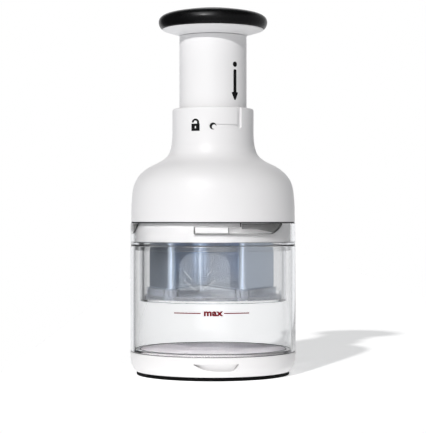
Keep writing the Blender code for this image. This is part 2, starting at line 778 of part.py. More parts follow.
def make_wiper():
    outline = (
        (0.0, WIPER_TOP),
        (WIPER_RADIUS, WIPER_TOP),
        (WIPER_RADIUS, WIPER_BOTTOM),
        (0.0, WIPER_BOTTOM),
    )
    wiper = turned("wiper", outline, WIPER_BOTTOM, MILKY, 0.5)
    walls = strip_outline(BLADE_PATH, SLOT_HALF + SLOT_WALL, SLOT_WALL)
    middle = WIPER_BOTTOM + WIPER_THICKNESS / 2
    join(wiper, hide_cutter(extruded("slot_walls", walls, middle, SLOT_WALL_TOP)))
    tab = [(-WIPER_TAB_HALF, middle, WIPER_TOP + WIPER_TAB_HEIGHT)]
    tab.append((WIPER_TAB_HALF, middle, WIPER_TOP + WIPER_TAB_HEIGHT))
    tabs = repeat(WIPER_TABS, WIPER_TAB_FIRST, tab)
    outer = WIPER_RADIUS - WIPER_TAB_INSET
    join(wiper, bent_cutter("wiper_tabs", tabs, outer - WIPER_TAB_WALL, outer))
    slot = strip_outline(BLADE_PATH, SLOT_HALF, CLEARANCE)
    below = WIPER_BOTTOM - OVERCUT
    return cut(wiper, hide_cutter(extruded("wiper_slot", slot, below, SLOT_WALL_TOP + OVERCUT)))


def make_blade():
    """The folded strip: full thickness above, ground thin at its lower edge."""
    levels = (
        (BLADE_BOTTOM, BLADE_EDGE / 2),
        (BLADE_BOTTOM + BLADE_GRIND, BLADE_THICKNESS / 2),
        (BLADE_TOP, BLADE_THICKNESS / 2),
    )
    shape = bmesh.new()
    rows = []
    for height, half in levels:
        left, right = strip_sides(BLADE_PATH, half)
        rows.append([
            [shape.verts.new((p.x, p.y, height - BLADE_BOTTOM)) for p in side] for side in (left, right)
        ])
    last = len(BLADE_PATH) - 1
    for lower, upper in zip(rows, rows[1:]):
        for side in (0, 1):
            for i in range(last):
                shape.faces.new((lower[side][i], lower[side][i + 1], upper[side][i + 1], upper[side][i]))
        for i in (0, last):
            shape.faces.new((lower[0][i], lower[1][i], upper[1][i], upper[0][i]))
    for row in (rows[0], rows[-1]):
        for i in range(last):
            shape.faces.new((row[0][i], row[0][i + 1], row[1][i + 1], row[1][i]))
    return add_part("blade", mesh_from(shape, "blade"), BLADE_BOTTOM, STEEL, 0.22, metallic=1.0)


def foot_screw_places():
    return ring_of_places(2, FOOT_SCREW_AZIMUTH, FOOT_SCREW_PLACE)


def make_blade_carrier():
    recess = SHAFT_FOOT_RADIUS + CLEARANCE
    outline = (
        (0.0, SHAFT_FOOT_BOTTOM - CLEARANCE),
        (recess, SHAFT_FOOT_BOTTOM - CLEARANCE),
        (recess, CARRIER_TOP),
        (CARRIER_RADIUS - CARRIER_EDGE, CARRIER_TOP),
        (CARRIER_RADIUS, CARRIER_TOP - CARRIER_EDGE),
        (CARRIER_RADIUS, CARRIER_BOTTOM + CARRIER_EDGE),
        (CARRIER_RADIUS - CARRIER_EDGE, CARRIER_BOTTOM),
        (0.0, CARRIER_BOTTOM),
    )
    carrier = turned("blade_carrier", outline, CARRIER_BOTTOM, WHITE, 0.4)
    slot = strip_outline(BLADE_PATH, SLOT_HALF, CLEARANCE)
    top = BLADE_TOP + CLEARANCE
    cut(carrier, hide_cutter(extruded("blade_seat", slot, CARRIER_BOTTOM - OVERCUT, top)))
    holes = ((FOOT_SCREW_TIP, FOOT_SCREW_HOLE), (CARRIER_TOP, FOOT_SCREW_HOLE))
    return cut(carrier, pins_cutter("carrier_holes", foot_screw_places(), holes))


def add_screws(name, places, steps, seat):
    """One object for each screw, all with the same steps, numbered from 1."""
    screws = []
    for i, place in enumerate(places):
        mesh = pins_mesh(f"{name}_{i + 1}", [place], steps, seat)
        screws.append(add_part(mesh.name, mesh, seat, STEEL, 0.3, metallic=1.0))
    return screws


def make_carrier_screws():
    steps = (
        (FOOT_SCREW_TIP + CLEARANCE, FOOT_SCREW_SHANK),
        (FOOT_SCREW_SEAT, FOOT_SCREW_SHANK),
        (FOOT_SCREW_SEAT, FOOT_SCREW_HEAD),
        (FOOT_SCREW_TOP, FOOT_SCREW_HEAD),
    )
    return add_screws("carrier_screw", foot_screw_places(), steps, CARRIER_BOTTOM)


def square_point(share, side):
    """A point on a square's edge, by its share of the way round from a corner."""
    corner = int(share * 4) % 4
    along = share * 4 - int(share * 4)
    corners = ((1, 1), (-1, 1), (-1, -1), (1, -1))
    start = Vector(corners[corner])
    end = Vector(corners[(corner + 1) % 4])
    return start.lerp(end, along) * side / 2


def shaft_ring(shape, height, side, radius, turn):
    """A ring of the shaft at a height: a turned square where side is given, else a circle."""
    ring = []
    for i in range(SMALL_SIDES):
        share = i / SMALL_SIDES
        if side:
            point = square_point(share, side)
        else:
            angle = math.tau * (share + 1 / 8)
            point = Vector((radius * math.cos(angle), radius * math.sin(angle)))
        point.rotate(Matrix.Rotation(turn, 2))
        ring.append(shape.verts.new((point.x, point.y, height - SHAFT_FOOT_BOTTOM)))
    return ring


def make_drive_shaft():
    """The bar turns back by the index angle over one travel, so the nut turns it as it sinks."""
    rate = -math.radians(INDEX_TURN) / TRAVEL
    middle = (PLATE_BOTTOM + PLATE_TOP) / 2
    shape = bmesh.new()
    rings = [
        shaft_ring(shape, SHAFT_FOOT_BOTTOM, 0, SHAFT_FOOT_RADIUS, 0),
        shaft_ring(shape, SHAFT_FOOT_TOP, 0, SHAFT_FOOT_RADIUS, 0),
    ]
    for i in range(SHAFT_STEPS + 1):
        height = SHAFT_FOOT_TOP + (TWIST_TOP - SHAFT_FOOT_TOP) * i / SHAFT_STEPS
        rings.append(shaft_ring(shape, height, SHAFT_SIDE, 0, rate * (height - middle)))
    end_turn = rate * (TWIST_TOP - middle)
    groove = SHAFT_RADIUS - CLIP_GROOVE
    clip_top = CLIP_BOTTOM + CLIP_THICKNESS
    rounds = (
        (TWIST_TOP + SHAFT_BLEND, SHAFT_RADIUS),
        (SHOULDER_TOP - SHOULDER_THICKNESS, SHAFT_RADIUS),
        (SHOULDER_TOP - SHOULDER_THICKNESS, SHOULDER_RADIUS),
        (SHOULDER_TOP, SHOULDER_RADIUS),
        (SHOULDER_TOP, SHAFT_RADIUS),
        (CLIP_BOTTOM - CLEARANCE, SHAFT_RADIUS),
        (CLIP_BOTTOM - CLEARANCE, groove),
        (clip_top + CLEARANCE, groove),
        (clip_top + CLEARANCE, SHAFT_RADIUS),
        (SHAFT_TOP, SHAFT_RADIUS),
    )
    for height, radius in rounds:
        rings.append(shaft_ring(shape, height, 0, radius, end_turn))
    skin_rings(shape, rings)
    mesh = mesh_from(shape, "drive_shaft")
    shaft = add_part("drive_shaft", mesh, SHAFT_FOOT_BOTTOM, GREY, 0.35, metallic=0.9)
    holes = (
        (SHAFT_FOOT_BOTTOM - OVERCUT, FOOT_SCREW_HOLE),
        (FOOT_SCREW_SEAT - CLEARANCE, FOOT_SCREW_HOLE),
        (FOOT_SCREW_SEAT - CLEARANCE, FOOT_SCREW_HEAD + CLEARANCE),
        (SHAFT_FOOT_TOP + OVERCUT, FOOT_SCREW_HEAD + CLEARANCE),
    )
    return cut(shaft, pins_cutter("shaft_foot_holes", foot_screw_places(), holes))


def make_retaining_clip():
    half = 180.0 - CLIP_GAP / 2
    low = CLIP_BOTTOM
    high = CLIP_BOTTOM + CLIP_THICKNESS
    bars = [[(-half, 0.0, high - low), (half, 0.0, high - low)]]
    inner = SHAFT_RADIUS - CLIP_GROOVE + CLEARANCE
    mesh = bent_bars("retaining_clip", bars, inner, CLIP_RADIUS)
    return add_part("retaining_clip", mesh, low, STEEL, 0.3, metallic=1.0)


def make_thrust_washer():
    outline = (
        (SHAFT_HOLE, WASHER_TOP),
        (WASHER_RADIUS, WASHER_TOP),
        (WASHER_RADIUS, WASHER_BOTTOM),
        (SHAFT_HOLE, WASHER_BOTTOM),
    )
    return turned("thrust_washer", outline, WASHER_BOTTOM, GREY, 0.4, sides=TUBE_SIDES)


def make_return_spring():
    low = PLATE_TOP + CLEARANCE + SPRING_WIRE / 2
    high = WASHER_BOTTOM - CLEARANCE - SPRING_WIRE / 2
    count = SPRING_TURNS * SPRING_POINTS_PER_TURN
    points = []
    for i in range(count + 1):
        share = i / count
        turn = math.tau * SPRING_TURNS * share
        height = low + (high - low) * share
        points.append((SPRING_RADIUS * math.cos(turn), SPRING_RADIUS * math.sin(turn), height))
    print_least_gap("return_spring", points, SPRING_WIRE, SPRING_POINTS_PER_TURN)
    curve = bpy.data.curves.new("return_spring", "CURVE")
    curve.dimensions = "3D"
    curve.bevel_depth = SPRING_WIRE / 2
    curve.bevel_resolution = 1
    curve.use_fill_caps = True
    spline = curve.splines.new("POLY")
    spline.points.add(count)
    for point, place in zip(spline.points, points):
        point.co = (place[0], place[1], place[2] - PLATE_TOP, 1.0)
    curve.materials.append(make_material("return_spring", STEEL, 0.25, 1.0))
    obj = bpy.data.objects.new("return_spring", curve)
    obj.location = (0.0, 0.0, PLATE_TOP)
    PARTS.objects.link(obj)
    return obj


def print_least_gap(name, points, thickness, points_per_turn):
    """Prints the least gap between a coil's own turns, measured between its points."""
    places = np.array(points)
    least = float("inf")
    for i in range(len(places)):
        others = places[i + points_per_turn // 2:]
        if len(others):
            least = min(least, float(np.linalg.norm(others - places[i], axis=1).min()))
    print(f"{name}: least gap to itself {(least - thickness) / MM:.2f} mm")


def make_mechanism_plate():
    well = SPRING_RADIUS + SPRING_WIRE / 2 + SPRING_PLAY
    nut_hole = NUT_NECK_RADIUS + CLEARANCE
    outline = (
        (NUT_RADIUS + CLEARANCE, PLATE_TOP),
        (well, PLATE_TOP),
        (well, PLATE_TOP + SPRING_WELL_HEIGHT),
        (well + SPRING_WELL_WALL, PLATE_TOP + SPRING_WELL_HEIGHT),
        (well + SPRING_WELL_WALL, PLATE_TOP),
        (PLATE_RADIUS, PLATE_TOP),
        (PLATE_RADIUS, PLATE_BOTTOM),
        (nut_hole, PLATE_BOTTOM),
        (nut_hole, NUT_SHELF - CLEARANCE),
        (NUT_RADIUS + CLEARANCE, NUT_SHELF - CLEARANCE),
    )
    plate = turned("mechanism_plate", outline, PLATE_BOTTOM, WHITE, 0.45)
    holes = ((PLATE_BOTTOM - OVERCUT, SCREW_HOLE), (PLATE_TOP + OVERCUT, SCREW_HOLE))
    return cut(plate, pins_cutter("plate_holes", housing_screw_places(), holes))


def make_index_nut():
    outline = (
        (0.0, NUT_TOP),
        (NUT_RADIUS, NUT_TOP),
        (NUT_RADIUS, NUT_SHELF),
        (NUT_NECK_RADIUS, NUT_SHELF),
        (NUT_NECK_RADIUS, PLATE_BOTTOM + CLEARANCE),
        (0.0, PLATE_BOTTOM + CLEARANCE),
    )
    nut = turned("index_nut", outline, PLATE_BOTTOM, GREY, 0.4, sides=24)
    half = SHAFT_SIDE / 2 + NUT_PLAY
    square = ((-half, -half), (half, -half), (half, half), (-half, half))
    hole = extruded("nut_hole", square, PLATE_BOTTOM - OVERCUT, NUT_TOP + OVERCUT)
    return cut(nut, hide_cutter(hole))


def make_nut_keeper():
    bore = SHAFT_SIDE * math.sqrt(0.5) + 2 * CLEARANCE
    top = KEEPER_BOTTOM + KEEPER_THICKNESS
    outline = ((bore, top), (KEEPER_RADIUS, top), (KEEPER_RADIUS, KEEPER_BOTTOM), (bore, KEEPER_BOTTOM))
    return turned("nut_keeper", outline, KEEPER_BOTTOM, STEEL, 0.35, sides=24, metallic=1.0)


def make_locking_ring():
    outline = (
        (RING_FLANGE_BORE, RING_TOP),
        (RING_RADIUS, RING_TOP),
        (RING_RADIUS, RING_BOTTOM + CUP_EDGE),
        (RING_RADIUS - CUP_EDGE, RING_BOTTOM),
        (RING_BORE, RING_BOTTOM),
        (RING_BORE, RING_FLANGE_BOTTOM),
        (RING_FLANGE_BORE, RING_FLANGE_BOTTOM),
    )
    ring = turned("locking_ring", outline, RING_BOTTOM, WHITE, 0.35)
    lug = [(BAYONET_START, LUG_BOTTOM, LUG_TOP), (BAYONET_END, LUG_BOTTOM, LUG_TOP)]
    lugs = repeat(BAYONETS, 0.0, lug)
    join(ring, bent_cutter("bayonet_lugs", lugs, RING_RADIUS - RING_WALL / 2, LUG_RADIUS))
    holes = ((RING_FLANGE_BOTTOM - OVERCUT, SCREW_HOLE), (RING_TOP + OVERCUT, SCREW_HOLE))
    return cut(ring, pins_cutter("ring_holes", housing_screw_places(), holes))


def housing_screw_places():
    return ring_of_places(HOUSING_SCREWS, HOUSING_SCREW_FIRST, HOUSING_SCREW_PLACE)


def make_housing_screws():
    steps = (
        (SCREW_SEAT - SCREW_HEAD_HEIGHT, SCREW_HEAD),
        (SCREW_SEAT, SCREW_HEAD),
        (SCREW_SEAT, SCREW_SHANK),
        (SCREW_SEAT + HOUSING_SCREW_LENGTH, SCREW_SHANK),
    )
    return add_screws("housing_screw", housing_screw_places(), steps, PLATE_BOTTOM)


def housing_outline():
    """The bell's outer side, from the neck's lip down to its foot."""
    neck_bottom = HOUSING_BOTTOM + SHOULDER_RISE
    outline = [
        (NECK_RADIUS - NECK_EDGE, HOUSING_TOP),
        (NECK_RADIUS - NECK_EDGE * 0.3, HOUSING_TOP - NECK_EDGE * 0.3),
        (NECK_RADIUS, HOUSING_TOP - NECK_EDGE),
        (NECK_RADIUS, neck_bottom),
    ]
    for out, up in SHOULDER_SHARES:
        radius = NECK_RADIUS + (HOUSING_RADIUS - NECK_RADIUS) * out
        outline.append((radius, HOUSING_BOTTOM + SHOULDER_RISE * up))
    outline.append((HOUSING_RADIUS, HOUSING_BOTTOM))
    return outline


def make_housing():
    outer = housing_outline()
    wall = inset_outline(outer, HOUSING_WALL)
    inner = [point for point in wall if point[0] > NECK_RADIUS + GUIDE_SHOULDER]
    inner[-1] = (HOUSING_BORE, HOUSING_BOTTOM)
    outline = [(NECK_BORE, HOUSING_TOP)] + outer + list(reversed(inner))
    outline += [
        (NECK_RADIUS, inner[0][1] + GUIDE_CROWN),
        (NECK_RADIUS, GUIDE_BOTTOM),
        (GUIDE_BORE, GUIDE_BOTTOM),
        (GUIDE_BORE, LIP_UNDERSIDE),
        (NECK_BORE, LIP_UNDERSIDE),
    ]
    housing = turned("housing", outline, HOUSING_BOTTOM, WHITE, 0.3)
    add_ledges(housing)
    add_bosses(housing)
    cut(housing, window_cutter("housing_window"))
    track = TRACK_WIDTH / 2
    across = [(0.0, WINDOW_HEIGHT - track, WINDOW_HEIGHT + track)]
    across.append((LOCK_TURN, WINDOW_HEIGHT - track, WINDOW_HEIGHT + track))
    half = math.degrees(track / NECK_RADIUS)
    upright = [(LOCK_TURN - half, WINDOW_HEIGHT - track, HOUSING_TOP + OVERCUT)]
    upright.append((LOCK_TURN + half, WINDOW_HEIGHT - track, HOUSING_TOP + OVERCUT))
    floor = NECK_RADIUS - TRACK_DEPTH
    outside = NECK_RADIUS + OVERCUT
    cut(housing, bent_cutter("lock_track_across", [across], floor, outside))
    track_up = bent_cutter("lock_track_up", [upright], floor - CUTTER_STEP, outside + CUTTER_STEP)
    return cut(housing, track_up)


def add_ledges(housing):
    """Ledges that hold the plunger's latches down once the knob is pushed in and turned."""
    middle = -LOCK_TURN
    half = LATCH_HALF + LEDGE_MARGIN
    top = LEDGE_BOTTOM + LEDGE_HEIGHT
    ledge = [(middle - half, LEDGE_BOTTOM, top), (middle + half, LEDGE_BOTTOM, top)]
    ledges = repeat(LATCHES, LATCH_FIRST, ledge)
    join(housing, bent_cutter("latch_ledges", ledges, BUSH_BORE, GUIDE_BORE + NECK_WALL / 2))


def add_bosses(housing):
    bottom = PLATE_TOP + CLEARANCE
    posts = ((bottom, BOSS_RADIUS), (bottom + BOSS_HEIGHT, BOSS_RADIUS))
    join(housing, pins_cutter("screw_bosses", housing_screw_places(), posts))
    depth = SCREW_SEAT + HOUSING_SCREW_LENGTH + OVERCUT
    pilots = ((bottom - OVERCUT, SCREW_HOLE), (depth, SCREW_HOLE))
    cut(housing, pins_cutter("screw_pilots", housing_screw_places(), pilots))


def window_cutter(name):
    """A round bar through the front of the neck, where the lock mark shows."""
    shape = bmesh.new()
    length = NECK_RADIUS - PLUNGER_RADIUS + 4 * OVERCUT
    turn = Matrix.Rotation(math.pi / 2, 4, "X")
    place = Matrix.Translation((0.0, -(NECK_RADIUS + PLUNGER_RADIUS) / 2, WINDOW_HEIGHT))
    bmesh.ops.create_cone(
        shape, cap_ends=True, segments=WINDOW_SIDES, radius1=WINDOW_RADIUS, radius2=WINDOW_RADIUS,
        depth=length, matrix=place @ turn,
    )
    return hide_cutter(bpy.data.objects.new(name, mesh_from(shape, name)))


def make_neck_bush():
    outline = (
        (BUSH_BORE, BUSH_TOP),
        (BUSH_RADIUS, BUSH_TOP),
        (BUSH_RADIUS, BUSH_BOTTOM),
        (BUSH_BORE, BUSH_BOTTOM),
    )
    bush = turned("neck_bush", outline, BUSH_BOTTOM, GREY, 0.4, sides=TUBE_SIDES)
    return cut(bush, window_cutter("bush_window"))


def make_plunger_sleeve():
    outline = (
        (SHAFT_HOLE, PLUNGER_TOP),
        (PLUNGER_RADIUS, PLUNGER_TOP),
        (PLUNGER_RADIUS, PLUNGER_BOTTOM),
        (PLUNGER_BORE, PLUNGER_BOTTOM),
        (PLUNGER_BORE, PLUNGER_CEILING),
        (SHAFT_HOLE, PLUNGER_CEILING),
    )
    sleeve = turned("plunger_sleeve", outline, PLUNGER_BOTTOM, WHITE, 0.3, sides=TUBE_SIDES)
    latch = [(-LATCH_HALF, LATCH_BOTTOM, LATCH_TOP), (LATCH_HALF, LATCH_BOTTOM, LATCH_TOP)]
    latches = repeat(LATCHES, LATCH_FIRST, latch)
    join(sleeve, bent_cutter("latches", latches, PLUNGER_RADIUS - PLUNGER_WALL / 2, LATCH_RADIUS))
    holes = ((PLUNGER_CEILING - OVERCUT, SCREW_HOLE), (PLUNGER_TOP + OVERCUT, SCREW_HOLE))
    return cut(sleeve, pins_cutter("plunger_holes", knob_screw_places(), holes))


def knob_screw_places():
    return ring_of_places(KNOB_SCREWS, 0.0, KNOB_SCREW_PLACE)


def make_knob_screws():
    under_head = CAP_FLOOR_TOP + CLEARANCE
    steps = (
        (PLUNGER_CEILING + CLEARANCE, SCREW_SHANK),
        (under_head, SCREW_SHANK),
        (under_head, KNOB_SCREW_HEAD),
        (under_head + SCREW_HEAD_HEIGHT, KNOB_SCREW_HEAD),
    )
    return add_screws("knob_screw", knob_screw_places(), steps, PLUNGER_TOP)


def make_knob_cap():
    """The white flare under the pad, with a well for the screws and the shaft's clip."""
    outline = [
        (CAP_WELL, RIM_TOP),
        (CAP_RIM - RIM_CHAMFER, RIM_TOP - RIM_CHAMFER / 2),
        (CAP_RIM, RIM_TOP - 2 * RIM_CHAMFER),
        (CAP_RIM, FLARE_TOP),
        (CAP_FLARE, FLARE_TOP),
    ]
    outline += [(CAP_FLARE - inwards, FLARE_TOP - down) for inwards, down in CAP_FLARE_OUTLINE]
    outline += [
        (PLUNGER_RADIUS, CAP_BOTTOM),
        (CAP_POCKET_RADIUS, CAP_BOTTOM),
        (CAP_POCKET_RADIUS, CAP_FLOOR_TOP),
        (PLUNGER_RADIUS, CAP_FLOOR_TOP + CAP_DISH),
        (CAP_WELL, CAP_FLOOR_TOP + CAP_DISH_RIM),
    ]
    cap = turned("knob_cap", outline, CAP_BOTTOM, WHITE, 0.3)
    holes = ((CAP_BOTTOM - OVERCUT, SCREW_HOLE), (CAP_FLOOR_TOP + OVERCUT, SCREW_HOLE))
    return cut(cap, pins_cutter("cap_holes", knob_screw_places(), holes))


def make_knob_pad():
    outline = [(PAD_RADIUS * out, KNOB_TOP - PAD_SKIRT_DROP * down) for out, down in PAD_OUTLINE_SHARES]
    outline += [
        (PAD_BORE, PAD_BOTTOM),
        (PAD_BORE, RIM_TOP - 2 * RIM_CHAMFER + CLEARANCE),
        (PAD_BORE - RIM_CHAMFER, RIM_TOP),
        (CAP_WELL - CLEARANCE, RIM_TOP + CLEARANCE),
        (PAD_CORE, KNOB_TOP - PAD_CORE_DROP),
        (0.0, KNOB_TOP - CROWN_DROP),
    ]
    return turned("knob_pad", outline, PAD_BOTTOM, BLACK, 0.45)


def build():
    bodies = {
        "cup_body": (CUP_BOTTOM, [make_cup]),
        "guard_body": (FLANGE_BOTTOM, [make_blade_guard]),
        "housing_body": (HOUSING_BOTTOM, [
            make_housing, make_locking_ring, make_mechanism_plate, make_index_nut, make_nut_keeper,
            make_housing_screws, make_neck_bush, make_return_spring,
        ]),
        "wiper_body": (WIPER_BOTTOM, [make_wiper]),
        "carriage_body": (WASHER_BOTTOM, [make_thrust_washer]),
        "cutter_body": (CARRIER_BOTTOM, [
            make_drive_shaft, make_retaining_clip, make_blade_carrier, make_carrier_screws, make_blade,
        ]),
        "knob_body": (PLUNGER_BOTTOM, [
            make_plunger_sleeve, make_knob_cap, make_knob_screws, make_knob_pad,
        ]),
    }
    make_foot_ring()
    make_base()
    make_chopping_floor()
    for name, (height, makers) in bodies.items():
        body = add_body(name, height)
        for make in makers:
            made = make()
            for piece in made if isinstance(made, list) else [made]:
                carry(piece, body)


build()
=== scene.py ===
"""Looks of the press-down vegetable chopper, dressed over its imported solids."""
import math

import bmesh
import bpy
from mathutils import Matrix, Vector


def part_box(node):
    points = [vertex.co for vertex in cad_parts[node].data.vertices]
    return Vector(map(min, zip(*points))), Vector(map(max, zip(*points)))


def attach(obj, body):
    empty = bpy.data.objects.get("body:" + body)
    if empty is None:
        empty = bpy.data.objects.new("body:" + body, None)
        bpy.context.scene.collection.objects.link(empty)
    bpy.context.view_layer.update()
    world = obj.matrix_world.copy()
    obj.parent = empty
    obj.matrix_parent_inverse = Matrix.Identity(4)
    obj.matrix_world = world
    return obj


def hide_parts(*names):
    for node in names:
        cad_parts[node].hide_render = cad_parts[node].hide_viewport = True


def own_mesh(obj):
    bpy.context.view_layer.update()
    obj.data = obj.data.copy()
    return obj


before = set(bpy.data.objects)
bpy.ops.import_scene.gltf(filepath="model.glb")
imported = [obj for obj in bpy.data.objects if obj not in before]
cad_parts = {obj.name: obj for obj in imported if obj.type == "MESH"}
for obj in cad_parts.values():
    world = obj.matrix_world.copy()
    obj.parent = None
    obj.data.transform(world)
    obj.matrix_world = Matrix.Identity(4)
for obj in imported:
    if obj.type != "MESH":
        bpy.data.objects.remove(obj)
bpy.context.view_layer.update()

# Light levels, so that white plastic at its brightest comes out just under white
KEY_LEVEL = 2.07
FILL_LEVEL = 0.38
ROOM_LEFT = 0.06
ROOM_RIGHT = 0.0
ROOM_TOP = 0.26
BELOW_LEFT = 1.0
BELOW_RIGHT = 0.48
FLOOR_GLOW = 0.465

# Where the floor ends, in metres
FLOOR_LEFT = -0.13
FLOOR_RIGHT = 0.25
FLOOR_FRONT = -0.26
FLOOR_BACK = 3.0

# What the studio's other sides look like in metal and gloss
MIRROR_LEFT = 0.07
MIRROR_RIGHT = 0.55
MIRROR_FRONT = 0.65
MIRROR_AHEAD = 1.2
SOFTBOX = 8.0
CEILING = 0.06

# Colours of the light from the studio
ROOM_COLOUR = (0.96, 0.98, 1.0)
GLOSS_COLOUR = (0.98, 0.985, 1.0)
PLAIN_WHITE = (1.0, 1.0, 1.0)

MM = 0.001

# Clearance between neighbouring pieces
GAP = 0.3 * MM

# Sides of round shapes
ROUND = 144
TUBE_ROUND = 96
SMALL_ROUND = 48

# Angles from which an edge stays sharp, the second where there are shallow cuts
SHARP = 38.0
SHARP_CUT = 15.0

# A point this near to the axis lies on it, and points this near to each other are one
ON_AXIS = 0.01 * MM
WELD = 0.002 * MM

# Roundings of the moulded edges
FINE_EDGE = 0.2 * MM
EDGE = 0.3 * MM
SOFT_EDGE = 0.4 * MM
FULL_EDGE = 0.6 * MM

# Sizes inside a node's box, shared by several pieces
CUP_SEAT = 14.0 * MM
SPIGOT_RADIUS = 47.5 * MM
SLEEVE_RADIUS = 44.7 * MM
NECK_RADIUS = 24.8 * MM
PLUNGER_RADIUS = 20.5 * MM

# The lock on the neck: height of its window, and the knob's turn from there to the open track
LOCK_HEIGHT = 149.8 * MM
LOCK_TURN = 40.0

# The bayonet's height, and the azimuths of its track and entry
BAYONET_LOW = 86.2 * MM
BAYONET_HIGH = 89.4 * MM
TRACK_START = -12.5
TRACK_END = 19.6
ENTRY_START = 19.4
RAMP_START = 43.7

# How thick the painted dark lines of shade in the clear guard are drawn
LINE = 0.22 * MM

# Printed marks: how thick the ink is and how far it stands off a white or a clear wall
INK_THICKNESS = 0.04 * MM
INK_RISE = 0.03 * MM
CUP_INK_RISE = 0.05 * MM


# Places read from the nodes of model.glb


def top_of(node):
    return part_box(node)[1].z


def foot_of(node):
    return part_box(node)[0].z


def span_of(node):
    """The heights of a node's lowest and highest points."""
    return foot_of(node), top_of(node)


def radius_of(node):
    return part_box(node)[1].x


# Shapes


def around(radius, azimuth, height):
    """A point at an azimuth in degrees from the front (-Y), turning towards +X."""
    turn = math.radians(azimuth)
    return Vector((radius * math.sin(turn), -radius * math.cos(turn), height))


def softened(corners, steps=5):
    """An outline from (radius, height, fillet) corners, with each fillet as a short curve."""
    points = [Vector(corner[:2]) for corner in corners]
    outline = []
    for i, corner in enumerate(corners):
        fillet = corner[2] if len(corner) > 2 else 0.0
        here = points[i]
        if not fillet:
            outline.append(tuple(here))
            continue
        back = (points[i - 1] - here).normalized()
        ahead = (points[(i + 1) % len(points)] - here).normalized()
        start = here + back * fillet
        end = here + ahead * fillet
        for k in range(steps + 1):
            t = k / steps
            point = start * (1 - t) ** 2 + here * 2 * t * (1 - t) + end * t ** 2
            outline.append(tuple(point))
    return outline


def in_mm(points):
    """Points that are written in millimetres, in metres."""
    return [(x * MM, y * MM) for x, y in points]


def smooth_curve(knots, steps=6):
    """A Catmull-Rom curve through two-dimensional knots."""
    points = [Vector(knot) for knot in knots]
    points = [points[0] * 2 - points[1]] + points + [points[-1] * 2 - points[-2]]
    curve = []
    for a, b, c, d in zip(points, points[1:], points[2:], points[3:]):
        for k in range(steps):
            t = k / steps
            curve.append(tuple(0.5 * (2 * b + (c - a) * t + (2 * a - 5 * b + 4 * c - d) * t ** 2
                                      + (3 * b - a - 3 * c + d) * t ** 3)))
    curve.append(tuple(points[-2]))
    return curve


def mesh_object(shape, name, sharp=SHARP):
    """A smooth shaded object from a finished bmesh."""
    bmesh.ops.recalc_face_normals(shape, faces=shape.faces)
    mesh = bpy.data.meshes.new(name)
    shape.to_mesh(mesh)
    shape.free()
    mesh.shade_smooth()
    mesh.set_sharp_from_angle(angle=math.radians(sharp))
    obj = bpy.data.objects.new(name, mesh)
    bpy.context.scene.collection.objects.link(obj)
    return obj


def held(outline, margin=0.08 * MM, longest=2.0 * MM):
    """Adds points near the ends of long straight runs, so that smooth shading leaves them flat."""
    points = []
    closed = outline[0][0] > ON_AXIS
    for i, point in enumerate(outline):
        points.append(point)
        if i == len(outline) - 1 and not closed:
            break
        start, end = Vector(point), Vector(outline[(i + 1) % len(outline)])
        run = end - start
        if run.length > longest:
            step = run.normalized() * margin
            points += [tuple(start + step), tuple(end - step)]
    return points


def lathe(name, outline, sides=ROUND):
    """A turned solid. An outline that starts on the axis is left open there, others close up."""
    shape = bmesh.new()
    rings = []
    for radius, height in held(outline):
        if radius < ON_AXIS:
            rings.append([shape.verts.new((0.0, 0.0, height))])
            continue
        turns = [360.0 * i / sides for i in range(sides)]
        rings.append([shape.verts.new(around(radius, turn, height)) for turn in turns])
    pairs = list(zip(rings, rings[1:]))
    if len(rings[0]) > 1:
        pairs.append((rings[-1], rings[0]))
    for upper, lower in pairs:
        for i in range(sides):
            j = (i + 1) % sides
            if len(upper) == 1:
                shape.faces.new((upper[0], lower[i], lower[j]))
            elif len(lower) == 1:
                shape.faces.new((upper[j], upper[i], lower[0]))
            else:
                shape.faces.new((upper[i], lower[i], lower[j], upper[j]))
    return mesh_object(shape, name)


def bent_bars(name, bars, inner, outer, step=2.5, lean=0.0):
    """Bars bent round the axis, each through its stations of (azimuth, low, high)."""
    shape = bmesh.new()
    for stations in bars:
        fine = [stations[0]]
        for start, end in zip(stations, stations[1:]):
            parts = max(1, math.ceil(abs(end[0] - start[0]) / step))
            for i in range(1, parts + 1):
                fine.append(tuple(a + (b - a) * i / parts for a, b in zip(start, end)))
        rings = []
        for azimuth, low, high in fine:
            corners = ((inner, low), (outer, low), (outer, high), (inner + lean, high))
            rings.append([shape.verts.new(around(r, azimuth, z)) for r, z in corners])
        for lower, upper in zip(rings, rings[1:]):
            for i in range(4):
                j = (i + 1) % 4
                shape.faces.new((lower[i], lower[j], upper[j], upper[i]))
        shape.faces.new(list(reversed(rings[0])))
        shape.faces.new(rings[-1])
    return mesh_object(shape, name)


def level_bar(start, end, low, high):
    """The stations of a bar between two azimuths, with level edges."""
    return [(start, low, high), (end, low, high)]


def thrice(stations):
    """The same stations three times, spaced evenly round the axis."""
    return [[(turn + azimuth, low, high) for azimuth, low, high in stations] for turn in (0.0, 120.0, 240.0)]


def evaluated_mesh(obj):
    """A new mesh of an object as it shows, with its modifiers or its curve's thickness."""
    bpy.context.view_layer.update()
    evaluated = obj.evaluated_get(bpy.context.evaluated_depsgraph_get())
    return bpy.data.meshes.new_from_object(evaluated)


def boolean(obj, tool, operation, sharp=SHARP):
    """Cuts or joins a tool, applies the result to the mesh and removes the tool."""
    modifier = obj.modifiers.new("edit", "BOOLEAN")
    modifier.operation = operation
    modifier.solver = "EXACT"
    modifier.object = tool
    mesh = evaluated_mesh(obj)
    obj.modifiers.clear()
    obj.data = mesh
    mesh.shade_smooth()
    mesh.set_sharp_from_angle(angle=math.radians(sharp))
    bpy.data.objects.remove(tool, do_unlink=True)


